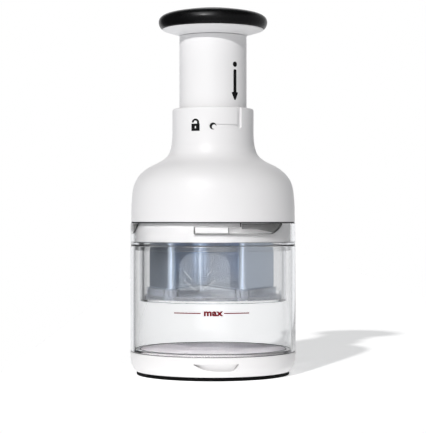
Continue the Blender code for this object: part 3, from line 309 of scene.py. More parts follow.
def flat_outline(name, outlines, thickness):
    """Flat filled outlines, given as lists of (across, up) and drawn in X and Y."""
    curve = bpy.data.curves.new(name, "CURVE")
    curve.dimensions = "2D"
    curve.fill_mode = "BOTH"
    curve.extrude = thickness / 2
    for outline in outlines:
        spline = curve.splines.new("POLY")
        spline.points.add(len(outline) - 1)
        for point, (across, up) in zip(spline.points, outline):
            point.co = (across, up, 0.0, 1.0)
        spline.use_cyclic_u = True
    return welded(curve, name)


def welded(curve, name):
    """A closed mesh object from a curve or a text, with its seams joined."""
    source = bpy.data.objects.new(name + "_source", curve)
    bpy.context.scene.collection.objects.link(source)
    mesh = evaluated_mesh(source)
    bpy.data.objects.remove(source, do_unlink=True)
    shape = bmesh.new()
    shape.from_mesh(mesh)
    bmesh.ops.remove_doubles(shape, verts=shape.verts, dist=WELD)
    return mesh_object(shape, name)


def wrap(obj, radius, azimuth, height, slice_width=0.8 * MM):
    """Bends a flat piece, drawn in X and Y, onto an upright cylinder."""
    shape = bmesh.new()
    shape.from_mesh(obj.data)
    low = min(v.co.x for v in shape.verts)
    high = max(v.co.x for v in shape.verts)
    count = max(1, math.ceil((high - low) / slice_width))
    for i in range(1, count):
        place = (low + (high - low) * i / count, 0.0, 0.0)
        geometry = shape.verts[:] + shape.edges[:] + shape.faces[:]
        bmesh.ops.bisect_plane(shape, geom=geometry, plane_co=place, plane_no=(1.0, 0.0, 0.0))
    for vertex in shape.verts:
        across, up, out = vertex.co
        turn = azimuth + math.degrees(across / radius)
        vertex.co = around(radius + out, turn, height + up)
    bmesh.ops.recalc_face_normals(shape, faces=shape.faces)
    shape.to_mesh(obj.data)
    shape.free()
    return obj


def disc_outline(radius, count=32):
    turns = [math.tau * i / count for i in range(count)]
    return [(radius * math.cos(turn), radius * math.sin(turn)) for turn in turns]


def box_outline(left, right, low, high):
    return [(left, low), (right, low), (right, high), (left, high)]


def arch_outline(half_width, rise, foot, steps=16):
    """Points over half an ellipse, from its right end to its left one."""
    turns = [math.pi * i / steps for i in range(steps + 1)]
    return [(half_width * math.cos(turn), foot + rise * math.sin(turn)) for turn in turns]


# Materials


class Tree:
    """The node tree of a material or of the world."""

    def __init__(self, owner):
        owner.use_nodes = True
        self.nodes = owner.node_tree.nodes
        self.links = owner.node_tree.links

    def feed(self, node, values):
        """Sets a node's inputs, each to a plain value or to another node's output."""
        for name, value in values.items():
            if isinstance(value, bpy.types.NodeSocket):
                self.links.new(value, node.inputs[name])
            else:
                node.inputs[name].default_value = value

    def add(self, kind, values):
        """A new shader node with some of its inputs set."""
        node = self.nodes.new("ShaderNode" + kind)
        self.feed(node, values)
        return node

    def maths(self, operation, first, second):
        node = self.add("Math", {0: first, 1: second})
        node.operation = operation
        return node.outputs["Value"]

    def ramp(self, value, span, levels):
        """Goes softly from one level to another as a value crosses a span."""
        start, end = span
        low, high = levels
        node = self.add("MapRange", {
            "Value": value, "From Min": start, "From Max": end, "To Min": low, "To Max": high})
        node.interpolation_type = "SMOOTHSTEP"
        return node.outputs["Result"]

    def axes(self, kind):
        """The three parts of a texture coordinate."""
        place = self.add("TexCoord", {}).outputs[kind]
        parts = self.add("SeparateXYZ", {"Vector": place}).outputs
        return parts["X"], parts["Y"], parts["Z"]

    def noise(self, scale, detail):
        """Noise in object coordinates."""
        place = self.add("TexCoord", {}).outputs["Object"]
        return self.add("TexNoise", {"Vector": place, "Scale": scale, "Detail": detail}).outputs["Fac"]

    def mottle(self, scale, low, high):
        """Soft noise, mapped from where most of it lies to a narrow range of values."""
        noise = self.noise(scale, detail=3.0)
        node = self.add("MapRange", {
            "Value": noise, "From Min": 0.3, "From Max": 0.7, "To Min": low, "To Max": high})
        return node.outputs["Result"]

    def background(self, colour, strength):
        return self.add("Background", {"Color": (*colour, 1.0), "Strength": strength}).outputs["Background"]

    def mix_colours(self, share, first, second):
        """Two colours, the second one by its share."""
        mix = self.nodes.new("ShaderNodeMix")
        mix.data_type = "RGBA"
        self.feed(mix, {"Factor": share, "A": (*first, 1.0), "B": (*second, 1.0)})
        return mix.outputs["Result"]

    def mix_shaders(self, share, first, second):
        """Two shaders, the second one by its share."""
        return self.add("MixShader", {"Fac": share, 1: first, 2: second}).outputs["Shader"]


class Finish(Tree):
    """A new material with a Principled shader."""

    def __init__(self, name):
        self.material = bpy.data.materials.new(name)
        super().__init__(self.material)
        self.shader = self.nodes["Principled BSDF"]
        self.output = self.nodes["Material Output"]

    def set(self, values):
        self.feed(self.shader, values)

    def tint(self, dark, light, scale):
        """Mixes two near colours by a slow noise."""
        self.set({"Base Color": self.mix_colours(self.mottle(scale, 0.0, 1.0), dark, light)})

    def roughen(self, scale, low, high):
        self.set({"Roughness": self.mottle(scale, low, high)})

    def raise_by(self, height, strength, distance):
        """Raises the surface by a height that comes from a texture."""
        bump = self.add("Bump", {"Height": height, "Strength": strength, "Distance": distance})
        self.set({"Normal": bump.outputs["Normal"]})

    def grain(self, scale, strength, distance):
        """The fine unevenness of a moulded surface."""
        self.raise_by(self.noise(scale, detail=4.0), strength, distance)

    def let_lamps_through(self, straight, slanting):
        """Lamp light passes to what is behind, less of it where it meets the wall at a slant."""
        facing = self.add("LayerWeight", {"Blend": 0.5}).outputs["Facing"]
        slant = self.ramp(facing, span=(0.3, 0.85), levels=(0.0, 1.0))
        passed = self.mix_colours(slant, (straight,) * 3, (slanting,) * 3)
        clear = self.add("BsdfTransparent", {"Color": passed})
        shadow = self.add("LightPath", {}).outputs["Is Shadow Ray"]
        through = self.mix_shaders(shadow, self.shader.outputs["BSDF"], clear.outputs["BSDF"])
        self.feed(self.output, {"Surface": through})


def white_plastic():
    finish = Finish("white_plastic")
    finish.tint((0.824, 0.816, 0.821), (0.832, 0.824, 0.829), scale=30.0)
    finish.roughen(scale=40.0, low=0.36, high=0.42)
    finish.grain(scale=260.0, strength=0.02, distance=0.03 * MM)
    finish.set({"IOR": 1.46, "Specular IOR Level": 0.2})
    return finish.material


def black_rubber():
    finish = Finish("black_rubber")
    finish.tint((0.002, 0.002, 0.0022), (0.0035, 0.0035, 0.0037), scale=60.0)
    finish.roughen(scale=420.0, low=0.26, high=0.33)
    finish.grain(scale=3800.0, strength=0.16, distance=0.08 * MM)
    finish.set({"Specular IOR Level": 0.14})
    return finish.material


def clear_plastic(name, bend, depth_of_grey, straight, slanting):
    """Clear plastic, greyer where it is thick, that lets lamp light pass to what is behind it."""
    finish = Finish(name)
    finish.roughen(scale=90.0, low=0.0, high=0.03)
    finish.grain(scale=120.0, strength=0.02, distance=0.05 * MM)
    finish.set({"Base Color": (1.0, 1.0, 1.0, 1.0), "IOR": bend, "Transmission Weight": 1.0})
    depth = finish.add("VolumeAbsorption", {"Color": (0.55, 0.6, 0.66, 1.0), "Density": depth_of_grey})
    finish.feed(finish.output, {"Volume": depth.outputs["Volume"]})
    finish.let_lamps_through(straight, slanting)
    return finish.material


def milky_plastic():
    """Frosted clear plastic: what is behind it shows, a little veiled."""
    finish = Finish("milky_plastic")
    finish.tint((0.82, 0.85, 0.91), (0.88, 0.91, 0.96), scale=45.0)
    finish.roughen(scale=300.0, low=0.16, high=0.26)
    finish.grain(scale=1500.0, strength=0.08, distance=0.05 * MM)
    finish.set({"IOR": 1.15, "Transmission Weight": 0.85})
    finish.let_lamps_through(straight=0.8, slanting=0.5)
    return finish.material


def matt_plastic(name, dark, light, roughness, specular):
    """A plain opaque plastic or rubber with a fine grain."""
    finish = Finish(name)
    finish.tint(dark, light, scale=45.0)
    finish.roughen(scale=300.0, low=roughness, high=roughness + 0.15)
    finish.grain(scale=1500.0, strength=0.12, distance=0.06 * MM)
    finish.set({"Specular IOR Level": specular})
    return finish.material


def steel(name, dark, light, roughness, grain_scale, metallic):
    """Ground steel with faint level lines, finer for a larger grain_scale."""
    finish = Finish(name)
    finish.tint(dark, light, scale=26.0)
    place = finish.add("TexCoord", {}).outputs["Object"]
    stretch = finish.add("Mapping", {"Vector": place, "Scale": (30.0, 30.0, grain_scale)})
    lines = finish.add("TexNoise", {"Vector": stretch.outputs["Vector"], "Scale": 1.0, "Detail": 5.0})
    rough = finish.add("MapRange", {
        "Value": lines.outputs["Fac"], "To Min": roughness * 0.7, "To Max": roughness * 1.4})
    finish.set({"Metallic": metallic, "Roughness": rough.outputs["Result"]})
    finish.raise_by(lines.outputs["Fac"], strength=0.06, distance=0.02 * MM)
    return finish.material


def film(name, dark, light, alpha):
    """A matt film that shows what is behind it a little veiled."""
    finish = Finish(name)
    finish.tint(dark, light, scale=60.0)
    finish.roughen(scale=200.0, low=0.4, high=0.55)
    finish.set({"Specular IOR Level": 0.2, "Alpha": alpha})
    return finish.material


def ink(name, colour):
    """Printed ink, a little lighter in places."""
    finish = Finish(name)
    finish.tint(colour, [part * 1.3 for part in colour], scale=400.0)
    finish.set({"Roughness": 0.5, "Specular IOR Level": 0.1})
    return finish.material


WHITE = white_plastic()
BLACK = black_rubber()
CLEAR = clear_plastic("clear_plastic", bend=1.45, depth_of_grey=28.0, straight=0.93, slanting=0.2)
COLLAR_CLEAR = clear_plastic("collar_plastic", bend=1.38, depth_of_grey=16.0, straight=0.62, slanting=0.62)
MILKY = milky_plastic()
GREY = matt_plastic(
    "grey_plastic", (0.62, 0.625, 0.635), (0.68, 0.685, 0.695), roughness=0.34, specular=0.4)
FLOOR_PLASTIC = matt_plastic(
    "floor_plastic", (0.66, 0.62, 0.65), (0.86, 0.82, 0.84), roughness=0.7, specular=0.08)
BAND_PLASTIC = matt_plastic(
    "band_plastic", (0.46, 0.44, 0.45), (0.52, 0.50, 0.51), roughness=0.5, specular=0.1)
FOOT_RUBBER = matt_plastic(
    "foot_rubber", (0.0015, 0.0015, 0.0016), (0.003, 0.003, 0.0032), roughness=0.6, specular=0.06)
# Near-black for painted shade: dark lines, rings and the window's well where gaps, grooves and edges look
# dark, and the black foot's reflection seen through the cup
PAINTED_DARK = matt_plastic(
    "painted_dark", (0.012, 0.012, 0.014), (0.02, 0.02, 0.023), roughness=0.5, specular=0.2)
BLADE = steel(
    "blade_steel", (0.67, 0.76, 0.89), (0.72, 0.81, 0.93), roughness=0.2, grain_scale=1400.0, metallic=0.8)
HARDWARE = steel(
    "hardware_steel", (0.50, 0.51, 0.53), (0.60, 0.61, 0.63), roughness=0.3, grain_scale=200.0, metallic=1.0)
# A grey film for the painted shadow of the bell on the locking ring
BELL_SHADOW_FILM = film("bell_shadow_film", (0.05, 0.05, 0.048), (0.07, 0.07, 0.067), alpha=0.35)
# Pale films for the arch and chevrons on the sleeve, a painted reflection of what shows in the blade
ARCH_REFLECTION_FILM = film("arch_reflection_film", (0.62, 0.68, 0.74), (0.7, 0.76, 0.82), alpha=0.07)
CHEVRON_REFLECTION_FILM = film("chevron_reflection_film", (0.8, 0.84, 0.88), (0.86, 0.9, 0.94), alpha=0.22)
BLACK_INK = ink("black_ink", (0.003, 0.003, 0.0032))
RED_INK = ink("red_ink", (0.14, 0.002, 0.008))


def dress(obj, material, body, slot, *nodes):
    """Gives a new piece its material and its body, and hides the nodes that it stands for. Its slot is not
    used.
    """
    obj.data.materials.clear()
    obj.data.materials.append(material)
    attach(obj, body)
    if nodes:
        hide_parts(*nodes)
    return obj


# Base and cup


def make_foot_ring():
    """The black ring that the chopper stands on."""
    low, high = span_of("foot_ring")
    outer = radius_of("foot_ring")
    width = 2.3 * MM
    tread_edge = 0.5 * MM
    inner = outer - width
    corners = ((inner, high), (outer, high, EDGE), (outer, low, tread_edge), (inner, low, EDGE))
    dress(lathe("foot_ring_soft", softened(corners)), FOOT_RUBBER, "base", "black_rubber", "foot_ring")


def make_base():
    """The white base, with the cup's spigot, the disc's bed and a finger recess in front."""
    low = foot_of("base")
    radius = radius_of("base")
    lip = 0.3 * MM
    bed, bed_radius = 13.2 * MM, 44.9 * MM
    spigot_top, spigot_chamfer = 15.5 * MM, 0.4 * MM
    belly, belly_radius = 2.3 * MM, 47.2 * MM
    heel_outer, heel_inner = 44.0 * MM, 42.0 * MM
    hollow = 4.0 * MM
    side = [(radius, CUP_SEAT - lip)]
    for drawn_in, height in ((0.3, 9.3), (1.0, 5.9), (2.7, 2.9)):
        side.append((radius - drawn_in * MM, height * MM))
    outline = [(0.0, bed), (bed_radius, bed), (bed_radius, spigot_top)]
    outline += [(SPIGOT_RADIUS - spigot_chamfer, spigot_top), (SPIGOT_RADIUS, spigot_top - spigot_chamfer)]
    outline += [(SPIGOT_RADIUS, CUP_SEAT), (radius - lip, CUP_SEAT)] + smooth_curve(side)
    outline += [(belly_radius, belly), (heel_outer, belly), (heel_outer, low), (heel_inner, low)]
    outline += [(heel_inner, hollow), (0.0, hollow)]
    base = lathe("base_shell", outline)
    cut_grip(base, radius)
    dress(base, WHITE, "base", "white_plastic", "base")


def cut_grip(base, radius):
    """The finger recess, by its depths below its straight top from left to right."""
    top = 10.2 * MM
    depths = smooth_curve(((-13.0, 0.4), (-11.0, 1.4), (-8.0, 2.6), (-3.0, 3.7), (3.0, 4.2), (9.0, 4.3),
                           (13.5, 4.0), (15.4, 3.1), (16.8, 1.6), (17.4, 0.4)))
    stations = [(azimuth, top - depth * MM, top) for azimuth, depth in depths]
    back, front = radius - 3.6 * MM, radius + 2.0 * MM
    slope = 3.2 * MM
    pocket = bent_bars("grip_pocket", [stations], back, front, step=1.0, lean=slope)
    boolean(base, pocket, "DIFFERENCE", sharp=16.0)


def make_chopping_floor():
    """The frosted disc on the base."""
    low, high = span_of("chopping_floor")
    radius = radius_of("chopping_floor")
    rounded = 0.7 * MM
    corners = ((0.0, high), (radius, high, rounded), (radius, low, FINE_EDGE), (0.0, low))
    disc = lathe("chopping_disc", softened(corners))
    dress(disc, FLOOR_PLASTIC, "base", "milky_plastic", "chopping_floor")


def thin_ring(name, radii, heights, material, body, slot):
    """A plain thin ring between two radii and two heights."""
    inner, outer = radii
    low, high = heights
    corners = ((inner, high), (outer, high), (outer, low), (inner, low))
    dress(lathe(name, corners), material, body, slot)


def make_base_lines():
    """Dark lines round the spigot and the disc, a pale band below them and a dark ring under the cup's foot.
    The dark lines and ring are painted shade in the gaps and the groove, with the black foot's reflection
    seen through the cup.
    """
    skin = (47.2 * MM, 47.75 * MM)
    seam_foot, seam_top = 15.4 * MM, 15.65 * MM
    band_foot, band_top = 14.03 * MM, 15.38 * MM
    seat_top = 14.24 * MM
    # A dark line round the spigot's top: painted shade of the gap to the cup and painted reflection of the
    # black foot seen through the cup
    thin_ring("spigot_dark_line", skin, (seam_foot, seam_top), PAINTED_DARK, "base", "black_rubber")
    thin_ring("spigot_band", skin, (band_foot, band_top), BAND_PLASTIC, "base", "milky_plastic")
    # A dark ring in the gap between the base's rim and the cup's foot, painted shade
    seat = (48.1 * MM, 50.1 * MM)
    thin_ring("cup_gap_shade", seat, (band_foot, seat_top), PAINTED_DARK, "base", "black_rubber")
    # Dark strokes at the spigot's sides, painted reflection of the black foot seen through the cup's edge
    stroke_foot = 14.2 * MM
    right = [(57.0, 15.3 * MM, seam_foot), (64.0, stroke_foot, seam_foot), (89.0, stroke_foot, seam_foot)]
    left = [(-azimuth, low, high) for azimuth, low, high in reversed(right)]
    inner, outer = 47.3 * MM, 47.82 * MM
    strokes = bent_bars("spigot_dark_strokes", [right, left], inner, outer)
    dress(strokes, PAINTED_DARK, "base", "black_rubber")
    # A dark ring at the disc's edge, painted shade in the groove round it
    disc_edge = (44.35 * MM, 44.7 * MM)
    line, rise = 0.5 * MM, 0.05 * MM
    high = top_of("chopping_floor") + rise
    thin_ring("disc_rim_shade", disc_edge, (high - line, high), PAINTED_DARK, "base", "milky_plastic")


def make_cup():
    """The clear cup, a hair slimmer than its node so that its printed marks stay inside the box."""
    low, high = span_of("cup")
    outer = radius_of("cup") - 2 * CUP_INK_RISE
    wall = 2.5 * MM
    bore = outer - wall
    lip_inner, lip_outer = 0.7 * MM, 0.8 * MM
    corners = (
        (bore, high, lip_inner), (outer, high, lip_outer), (outer, low, FULL_EDGE), (bore, low, SOFT_EDGE))
    dress(lathe("cup_shell", softened(corners)), CLEAR, "cup", "clear_plastic", "cup")


def print_mark(name, outlines, radius, azimuth, height, colour, body, slot):
    """Ink in flat outlines, bent onto a round wall."""
    mark = wrap(flat_outline(name, outlines, INK_THICKNESS), radius, azimuth, height)
    dress(mark, colour, body, slot)


def make_fill_mark():
    """The red fill line on the cup's front and the word that interrupts it."""
    radius = radius_of("cup") - CUP_INK_RISE
    height = 39.8 * MM
    half = 0.3 * MM
    word_drop = 1.4 * MM
    word_stretch = 1.18
    font = bpy.data.curves.new("fill_word", "FONT")
    font.body = "max"
    font.size = 5.2 * MM
    font.offset = 0.25 * MM
    font.resolution_u = 6
    font.space_character = 1.06
    font.extrude = INK_THICKNESS / 2
    font.align_x = "CENTER"
    word = welded(font, "fill_word")
    word.data.transform(Matrix.Diagonal((word_stretch, 1.0, 1.0, 1.0)))
    wrap(word, radius, 0.0, height - word_drop)
    dress(word, RED_INK, "cup", "clear_plastic")
    for name, start, end in (("fill_line_left", -23.6, -7.2), ("fill_line_right", 6.4, 21.8)):
        box = box_outline(start * MM, end * MM, -half, half)
        print_mark(name, [box], radius, 0.0, height, RED_INK, "cup", "clear_plastic")


# Guard and locking ring


def make_guard():
    """The clear collar with its bayonet tracks, its flange on the cup and its sleeve in the cup."""
    low = foot_of("blade_guard")
    high = foot_of("housing") - 0.6 * MM
    outer = radius_of("blade_guard")
    collar = outer - 2.6 * MM
    flange = top_of("cup") + GAP
    flange_top = flange + 1.6 * MM
    bore = 42.4 * MM
    ledge_bore, ledge = 40.5 * MM, 1.2 * MM
    rib_inner, rib_outer, rib_depth = 46.2 * MM, 47.6 * MM, 3.3 * MM
    corners = (
        (collar, high, SOFT_EDGE), (outer, high, FULL_EDGE), (outer, flange, SOFT_EDGE), (rib_outer, flange),
        (rib_outer, flange - rib_depth, EDGE), (rib_inner, flange - rib_depth, EDGE), (rib_inner, flange),
        (SLEEVE_RADIUS, flange), (SLEEVE_RADIUS, low, FULL_EDGE), (ledge_bore, low, EDGE),
        (ledge_bore, low + ledge, EDGE), (bore, low + ledge), (bore, flange_top, EDGE),
        (collar, flange_top, EDGE),
    )
    guard = lathe("guard_shell", softened(corners, steps=4))
    bottom = BAYONET_LOW - GAP
    top = BAYONET_HIGH + GAP
    above = high + 1.0 * MM
    ramp = smooth_curve(((RAMP_START, bottom), (46.0, bottom + 0.4 * MM), (50.0, bottom + 1.9 * MM),
                         (54.0, bottom + 4.2 * MM), (57.0, above)), steps=3)
    track = level_bar(TRACK_START, TRACK_END, bottom, top)
    entry = [(ENTRY_START, bottom, above)] + [(azimuth, z, above + 0.2 * MM) for azimuth, z in ramp]
    track_depth, entry_depth = 0.5 * MM, 0.45 * MM
    through = collar + 1.6 * MM
    boolean(guard, bent_bars("tracks", thrice(track), collar - track_depth, through), "DIFFERENCE")
    boolean(guard, bent_bars("entries", thrice(entry), collar - entry_depth, through), "DIFFERENCE")
    dress(guard, COLLAR_CLEAR, "guard", "clear_plastic", "blade_guard")
    make_track_edge_shade(collar, bottom, top, high, ramp)
    make_bell_shadow_film(collar, high, ramp)
    make_cup_joint_shade()


def make_track_edge_shade(collar, bottom, top, high, ramp):
    """Dark lines inside the clear wall, along the edges of the bayonet tracks and entries: painted shade
    where these edges look dark through the clear wall.
    """
    inner, outer = collar + 0.3 * MM, collar + 1.5 * MM
    half = math.degrees(LINE / 2 / outer)
    apart, ramp_apart = 0.05 * MM, 0.1 * MM
    below = bottom - apart
    above = top + apart
    start, end = -12.9, 19.0
    edge_start, edge_end = -12.6, 19.2
    roof = high - 0.5 * MM
    slope = [(azimuth, min(z, high) - ramp_apart - LINE, min(z, high) - ramp_apart) for azimuth, z in ramp]
    shapes = [
        level_bar(edge_start, end, below - LINE, below),
        level_bar(edge_start, edge_end, above, above + LINE),
        level_bar(start - half, start + half, below - LINE, above + LINE),
        level_bar(end - half, end + half, above, roof),
        level_bar(edge_end, RAMP_START, below - LINE, below) + slope,
    ]
    bars = [bar for shape in shapes for bar in thrice(shape)]
    dress(bent_bars("track_edge_shade", bars, inner, outer), PAINTED_DARK, "guard", "clear_plastic")


def make_bell_shadow_film(collar, high, ramp):
    """The grey wedge in the clear wall over each entry, below the collar's rim: painted shadow of the bell
    on the locking ring.
    """
    apart = 0.1 * MM
    roof = high - 0.4 * MM
    drops = ((19.7, 3.0), (31.0, 3.2), (40.0, 4.4), (RAMP_START, 5.0))
    shade = [(azimuth, roof - drop * MM, roof) for azimuth, drop in drops]
    lowest = shade[-1][1]
    for azimuth, height in ramp[1:]:
        if height < high:
            shade.append((azimuth, min(max(height + apart, lowest), roof - apart), roof))
    inner, outer = collar + 1.75 * MM, collar + 1.85 * MM
    wedges = bent_bars("bell_shadow_film", thrice(shade), inner, outer)
    dress(wedges, BELL_SHADOW_FILM, "guard", "clear_plastic")


def make_cup_joint_shade():
    """The dark line between the cup and the flange: painted shade at their joint."""
    foot = top_of("cup") + 0.04 * MM
    radii = (48.3 * MM, 50.0 * MM)
    thin_ring("cup_joint_shade", radii, (foot, foot + LINE), PAINTED_DARK, "guard", "clear_plastic")


def stroke_outline(start, end, half):
    """The outline of a straight stroke between two points."""
    run = Vector(end) - Vector(start)
    side = Vector((run.y, -run.x)).normalized() * half
    corners = ((start, 1), (end, 1), (end, -1), (start, -1))
    return [(x + way * side.x, y + way * side.y) for (x, y), way in corners]


def make_arch_reflection():
    """A pale arch with its chevrons on the front of the clear sleeve: painted reflection, standing in for
    the arch and V strokes reflected in the blade.
    """
    rise, thickness = 0.1 * MM, 0.08 * MM
    radius = SLEEVE_RADIUS + rise
    arch_azimuth, arch_top = -6.4, 74.5 * MM
    right = smooth_curve(((6.0, 0.0), (10.5, -1.2), (13.6, -4.2), (15.0, -9.0), (15.0, -21.5)), steps=4)
    left = [(-x, y) for x, y in reversed(right)]
    arch = flat_outline("arch_reflection", [in_mm(right + left)], thickness)
    dress(wrap(arch, radius, arch_azimuth, arch_top), ARCH_REFLECTION_FILM, "guard", "clear_plastic")
    stroke_azimuth, stroke_half = -10.7, 0.28
    strokes = (((-8.8, 64.2), (-3.9, 59.0)), ((-8.8, 59.0), (-1.8, 52.9)),
               ((9.6, 58.5), (2.6, 53.3)), ((7.5, 64.2), (5.0, 61.6)))
    for number, (start, end) in enumerate(strokes, 1):
        outline = in_mm(stroke_outline(start, end, stroke_half))
        stroke = flat_outline(f"chevron_{number}", [outline], thickness)
        dress(wrap(stroke, radius + rise, stroke_azimuth, 0.0), CHEVRON_REFLECTION_FILM, "guard", "clear_plastic")


def make_locking_ring():
    """The white skirt below the bell, with its bayonet lugs and a dark bar at each lug's end, painted shade.
    """
    low, high = span_of("locking_ring")
    outer, bore = 47.3 * MM, 45.3 * MM
    rim_bore, rim = 41.4 * MM, 1.8 * MM
    corners = (
        (rim_bore, high), (outer, high, EDGE), (outer, low, SOFT_EDGE), (bore, low, SOFT_EDGE),
        (bore, high - rim), (rim_bore, high - rim),
    )
    skirt = lathe("locking_skirt", softened(corners))
    lug = level_bar(-12.1, 10.3, BAYONET_LOW, BAYONET_HIGH)
    root, tip = outer - 1.0 * MM, outer + 1.7 * MM
    boolean(skirt, bent_bars("lugs", thrice(lug), root, tip), "UNION")
    dress(skirt, WHITE, "housing", "white_plastic", "locking_ring")
    # Dark bars at the lugs' ends, painted shade where these faces look dark through the clear collar
    end = level_bar(10.35, 10.65, BAYONET_LOW, BAYONET_HIGH)
    ends = bent_bars("lug_end_shade", thrice(end), outer + 0.2 * MM, outer + 1.6 * MM)
    dress(ends, PAINTED_DARK, "housing", "white_plastic")


# Blade


FOLD_RADIUS = 2.5 * MM
BLADE_CORNERS = in_mm(((-39.2, 4.0), (-23.5, -36.0), (-8.8, 40.0), (16.5, -38.0), (37.9, 9.0)))


def folded_path(corners, radius, steps):
    """The strip's middle line in plan, straight between folds that are arcs."""
    points = [Vector(corner) for corner in corners]
    path = [points[0]]
    for before, corner, after in zip(points, points[1:], points[2:]):
        back = (before - corner).normalized()
        ahead = (after - corner).normalized()
        half = back.angle(ahead) / 2
        middle = corner + (back + ahead).normalized() * (radius / math.sin(half))
        start = corner + back * (radius / math.tan(half)) - middle
        sweep = start.angle_signed(corner + ahead * (radius / math.tan(half)) - middle)
        for i in range(steps + 1):
            spoke = start.copy()
            spoke.rotate(Matrix.Rotation(-sweep * i / steps, 2))
            path.append(middle + spoke)
    path.append(points[-1])
    return path


def strip_rows(shape, path, height, half):
    """The points of the strip's two faces at one height, half its thickness off the path."""
    left, right = [], []
    last = len(path) - 1
    for i, point in enumerate(path):
        ahead = (path[min(i + 1, last)] - path[max(i - 1, 0)]).normalized()
        side = Vector((-ahead.y, ahead.x))
        for row, offset in ((left, half), (right, -half)):
            place = point + side * offset * MM
            row.append(shape.verts.new((place.x, place.y, height)))
    return left, right


def make_blade():
    """The folded steel strip, ground to an edge along its foot. Half thicknesses are in mm."""
    low, high = span_of("blade")
    bevel = 1.8 * MM
    ground, full = 0.05, 0.35
    path = folded_path(BLADE_CORNERS, FOLD_RADIUS, steps=14)
    shape = bmesh.new()
    levels = ((low, ground), (low + bevel, full), (high, full))
    rows = [strip_rows(shape, path, height, half) for height, half in levels]
    last = len(path) - 1
    for lower, upper in zip(rows, rows[1:]):
        for below, above in zip(lower, upper):
            for i in range(last):
                shape.faces.new((below[i], below[i + 1], above[i + 1], above[i]))
        for i in (0, last):
            shape.faces.new((lower[0][i], lower[1][i], upper[1][i], upper[0][i]))
    for left, right in (rows[0], rows[-1]):
        for i in range(last):
            shape.faces.new((left[i], left[i + 1], right[i + 1], right[i]))
    dress(mesh_object(shape, "folded_blade", sharp=25.0), BLADE, "cutter", "blade_steel", "blade")


# Housing


def housing_side():
    """The bell's outer side from under the neck's edge to its foot, through measured knots."""
    foot = foot_of("housing") + 0.3 * MM
    neck = [(NECK_RADIUS, height * MM) for height in (159.6, 151.0, 145.0)]
    bell = in_mm((
        (25.3, 139.5), (26.0, 136.7), (27.5, 133.2), (31.6, 129.6), (38.8, 126.0), (43.5, 122.4),
        (46.6, 118.6), (48.3, 114.6), (49.1, 110.5), (49.7, 103.4),
    ))
    return smooth_curve(neck + bell + [(49.9 * MM, foot)])


def make_housing():
    """The white bell and its neck, hollow, with a tube inside that continues the neck."""
    low, high = span_of("housing")
    mouth, mouth_foot = 20.9 * MM, 160.2 * MM
    neck_rounding, neck_below = 1.6 * MM, 4.0 * MM
    bore = 22.8 * MM
    tube_top, tube_foot = 129.0 * MM, 99.0 * MM
    rim = softened(((mouth, high), (NECK_RADIUS, high, neck_rounding), (NECK_RADIUS, high - neck_below)))
    outline = [(mouth, high)] + rim[1:-1] + housing_side()
    outline += [(49.6 * MM, low), (47.9 * MM, low), (47.7 * MM, low + EDGE)]
    outline += in_mm(((47.6, 103.0), (46.6, 112.0), (44.0, 118.0), (38.0, 123.9), (31.0, 127.4)))
    outline += [(NECK_RADIUS, tube_top), (NECK_RADIUS, tube_foot), (bore, tube_foot)]
    outline += [(bore, mouth_foot), (mouth, mouth_foot)]
    housing = lathe("housing_shell", outline)
    cut_lock(housing, high)
    dress(housing, WHITE, "housing", "white_plastic", "housing")
    make_window()
    make_bell_gap_shade(low)


def cut_lock(housing, high):
    """The shallow track round the neck, the wider one that leads up from its end, and the window."""
    half_height = 1.2 * MM
    low, top = LOCK_HEIGHT - half_height, LOCK_HEIGHT + half_height
    half = math.degrees(1.6 * MM / NECK_RADIUS)
    corner = 0.7
    across = [(0.0, low, top), (LOCK_TURN, low, top),
              (LOCK_TURN + half * corner, LOCK_HEIGHT - half_height * corner, top),
              (LOCK_TURN + half, LOCK_HEIGHT, top)]
    above = high + 1.0 * MM
    upright = level_bar(LOCK_TURN - half, LOCK_TURN + half, LOCK_HEIGHT, above)
    across_depth, upright_depth = 0.7 * MM, 1.0 * MM
    across_bar = bent_bars("across", [across], NECK_RADIUS - across_depth, NECK_RADIUS + 1.0 * MM)
    boolean(housing, across_bar, "DIFFERENCE", SHARP_CUT)
    upright_bar = bent_bars("upright", [upright], NECK_RADIUS - upright_depth, NECK_RADIUS + 1.1 * MM)
    boolean(housing, upright_bar, "DIFFERENCE", SHARP_CUT)
    hole = front_disc("window", 2.1 * MM, (0.0, LOCK_HEIGHT), near=18.0 * MM, far=30.0 * MM)
    boolean(housing, hole, "DIFFERENCE", SHARP_CUT)


def front_disc(name, radius, middle, near, far):
    """A short round bar that lies along Y on the front side. Its middle is (across, height)."""
    across, height = middle
    shape = bmesh.new()
    place = Matrix.Translation((across, -(near + far) / 2, height)) @ Matrix.Rotation(math.pi / 2, 4, "X")
    bmesh.ops.create_cone(shape, cap_ends=True, segments=SMALL_ROUND, radius1=radius, radius2=radius,
                          depth=far - near, matrix=place)
    return mesh_object(shape, name)


def make_window():
    """The lock window's well, dark as painted shade inside the hole, and the white pin that stands in it,
    set off its middle so that the shade shows as a crescent.
    """
    well_foot, pin_foot, pin_top = 22.85 * MM, 23.1 * MM, 24.3 * MM
    well = front_disc("window_shade_well", 2.05 * MM, (0.0, LOCK_HEIGHT), well_foot, pin_foot)
    dress(well, PAINTED_DARK, "housing", "white_plastic")
    pin_place = (0.7 * MM, LOCK_HEIGHT - 0.45 * MM)
    pin = front_disc("window_pin", 1.35 * MM, pin_place, pin_foot, pin_top)
    dress(pin, WHITE, "housing", "white_plastic")


def make_bell_gap_shade(low):
    """The dark line between the bell and the collar: painted shade in the gap between them."""
    top = low - 0.02 * MM
    line = 0.55 * MM
    thin_ring("bell_gap_shade", (48.0 * MM, 49.75 * MM), (top - line, top), PAINTED_DARK, "housing", "white_plastic")


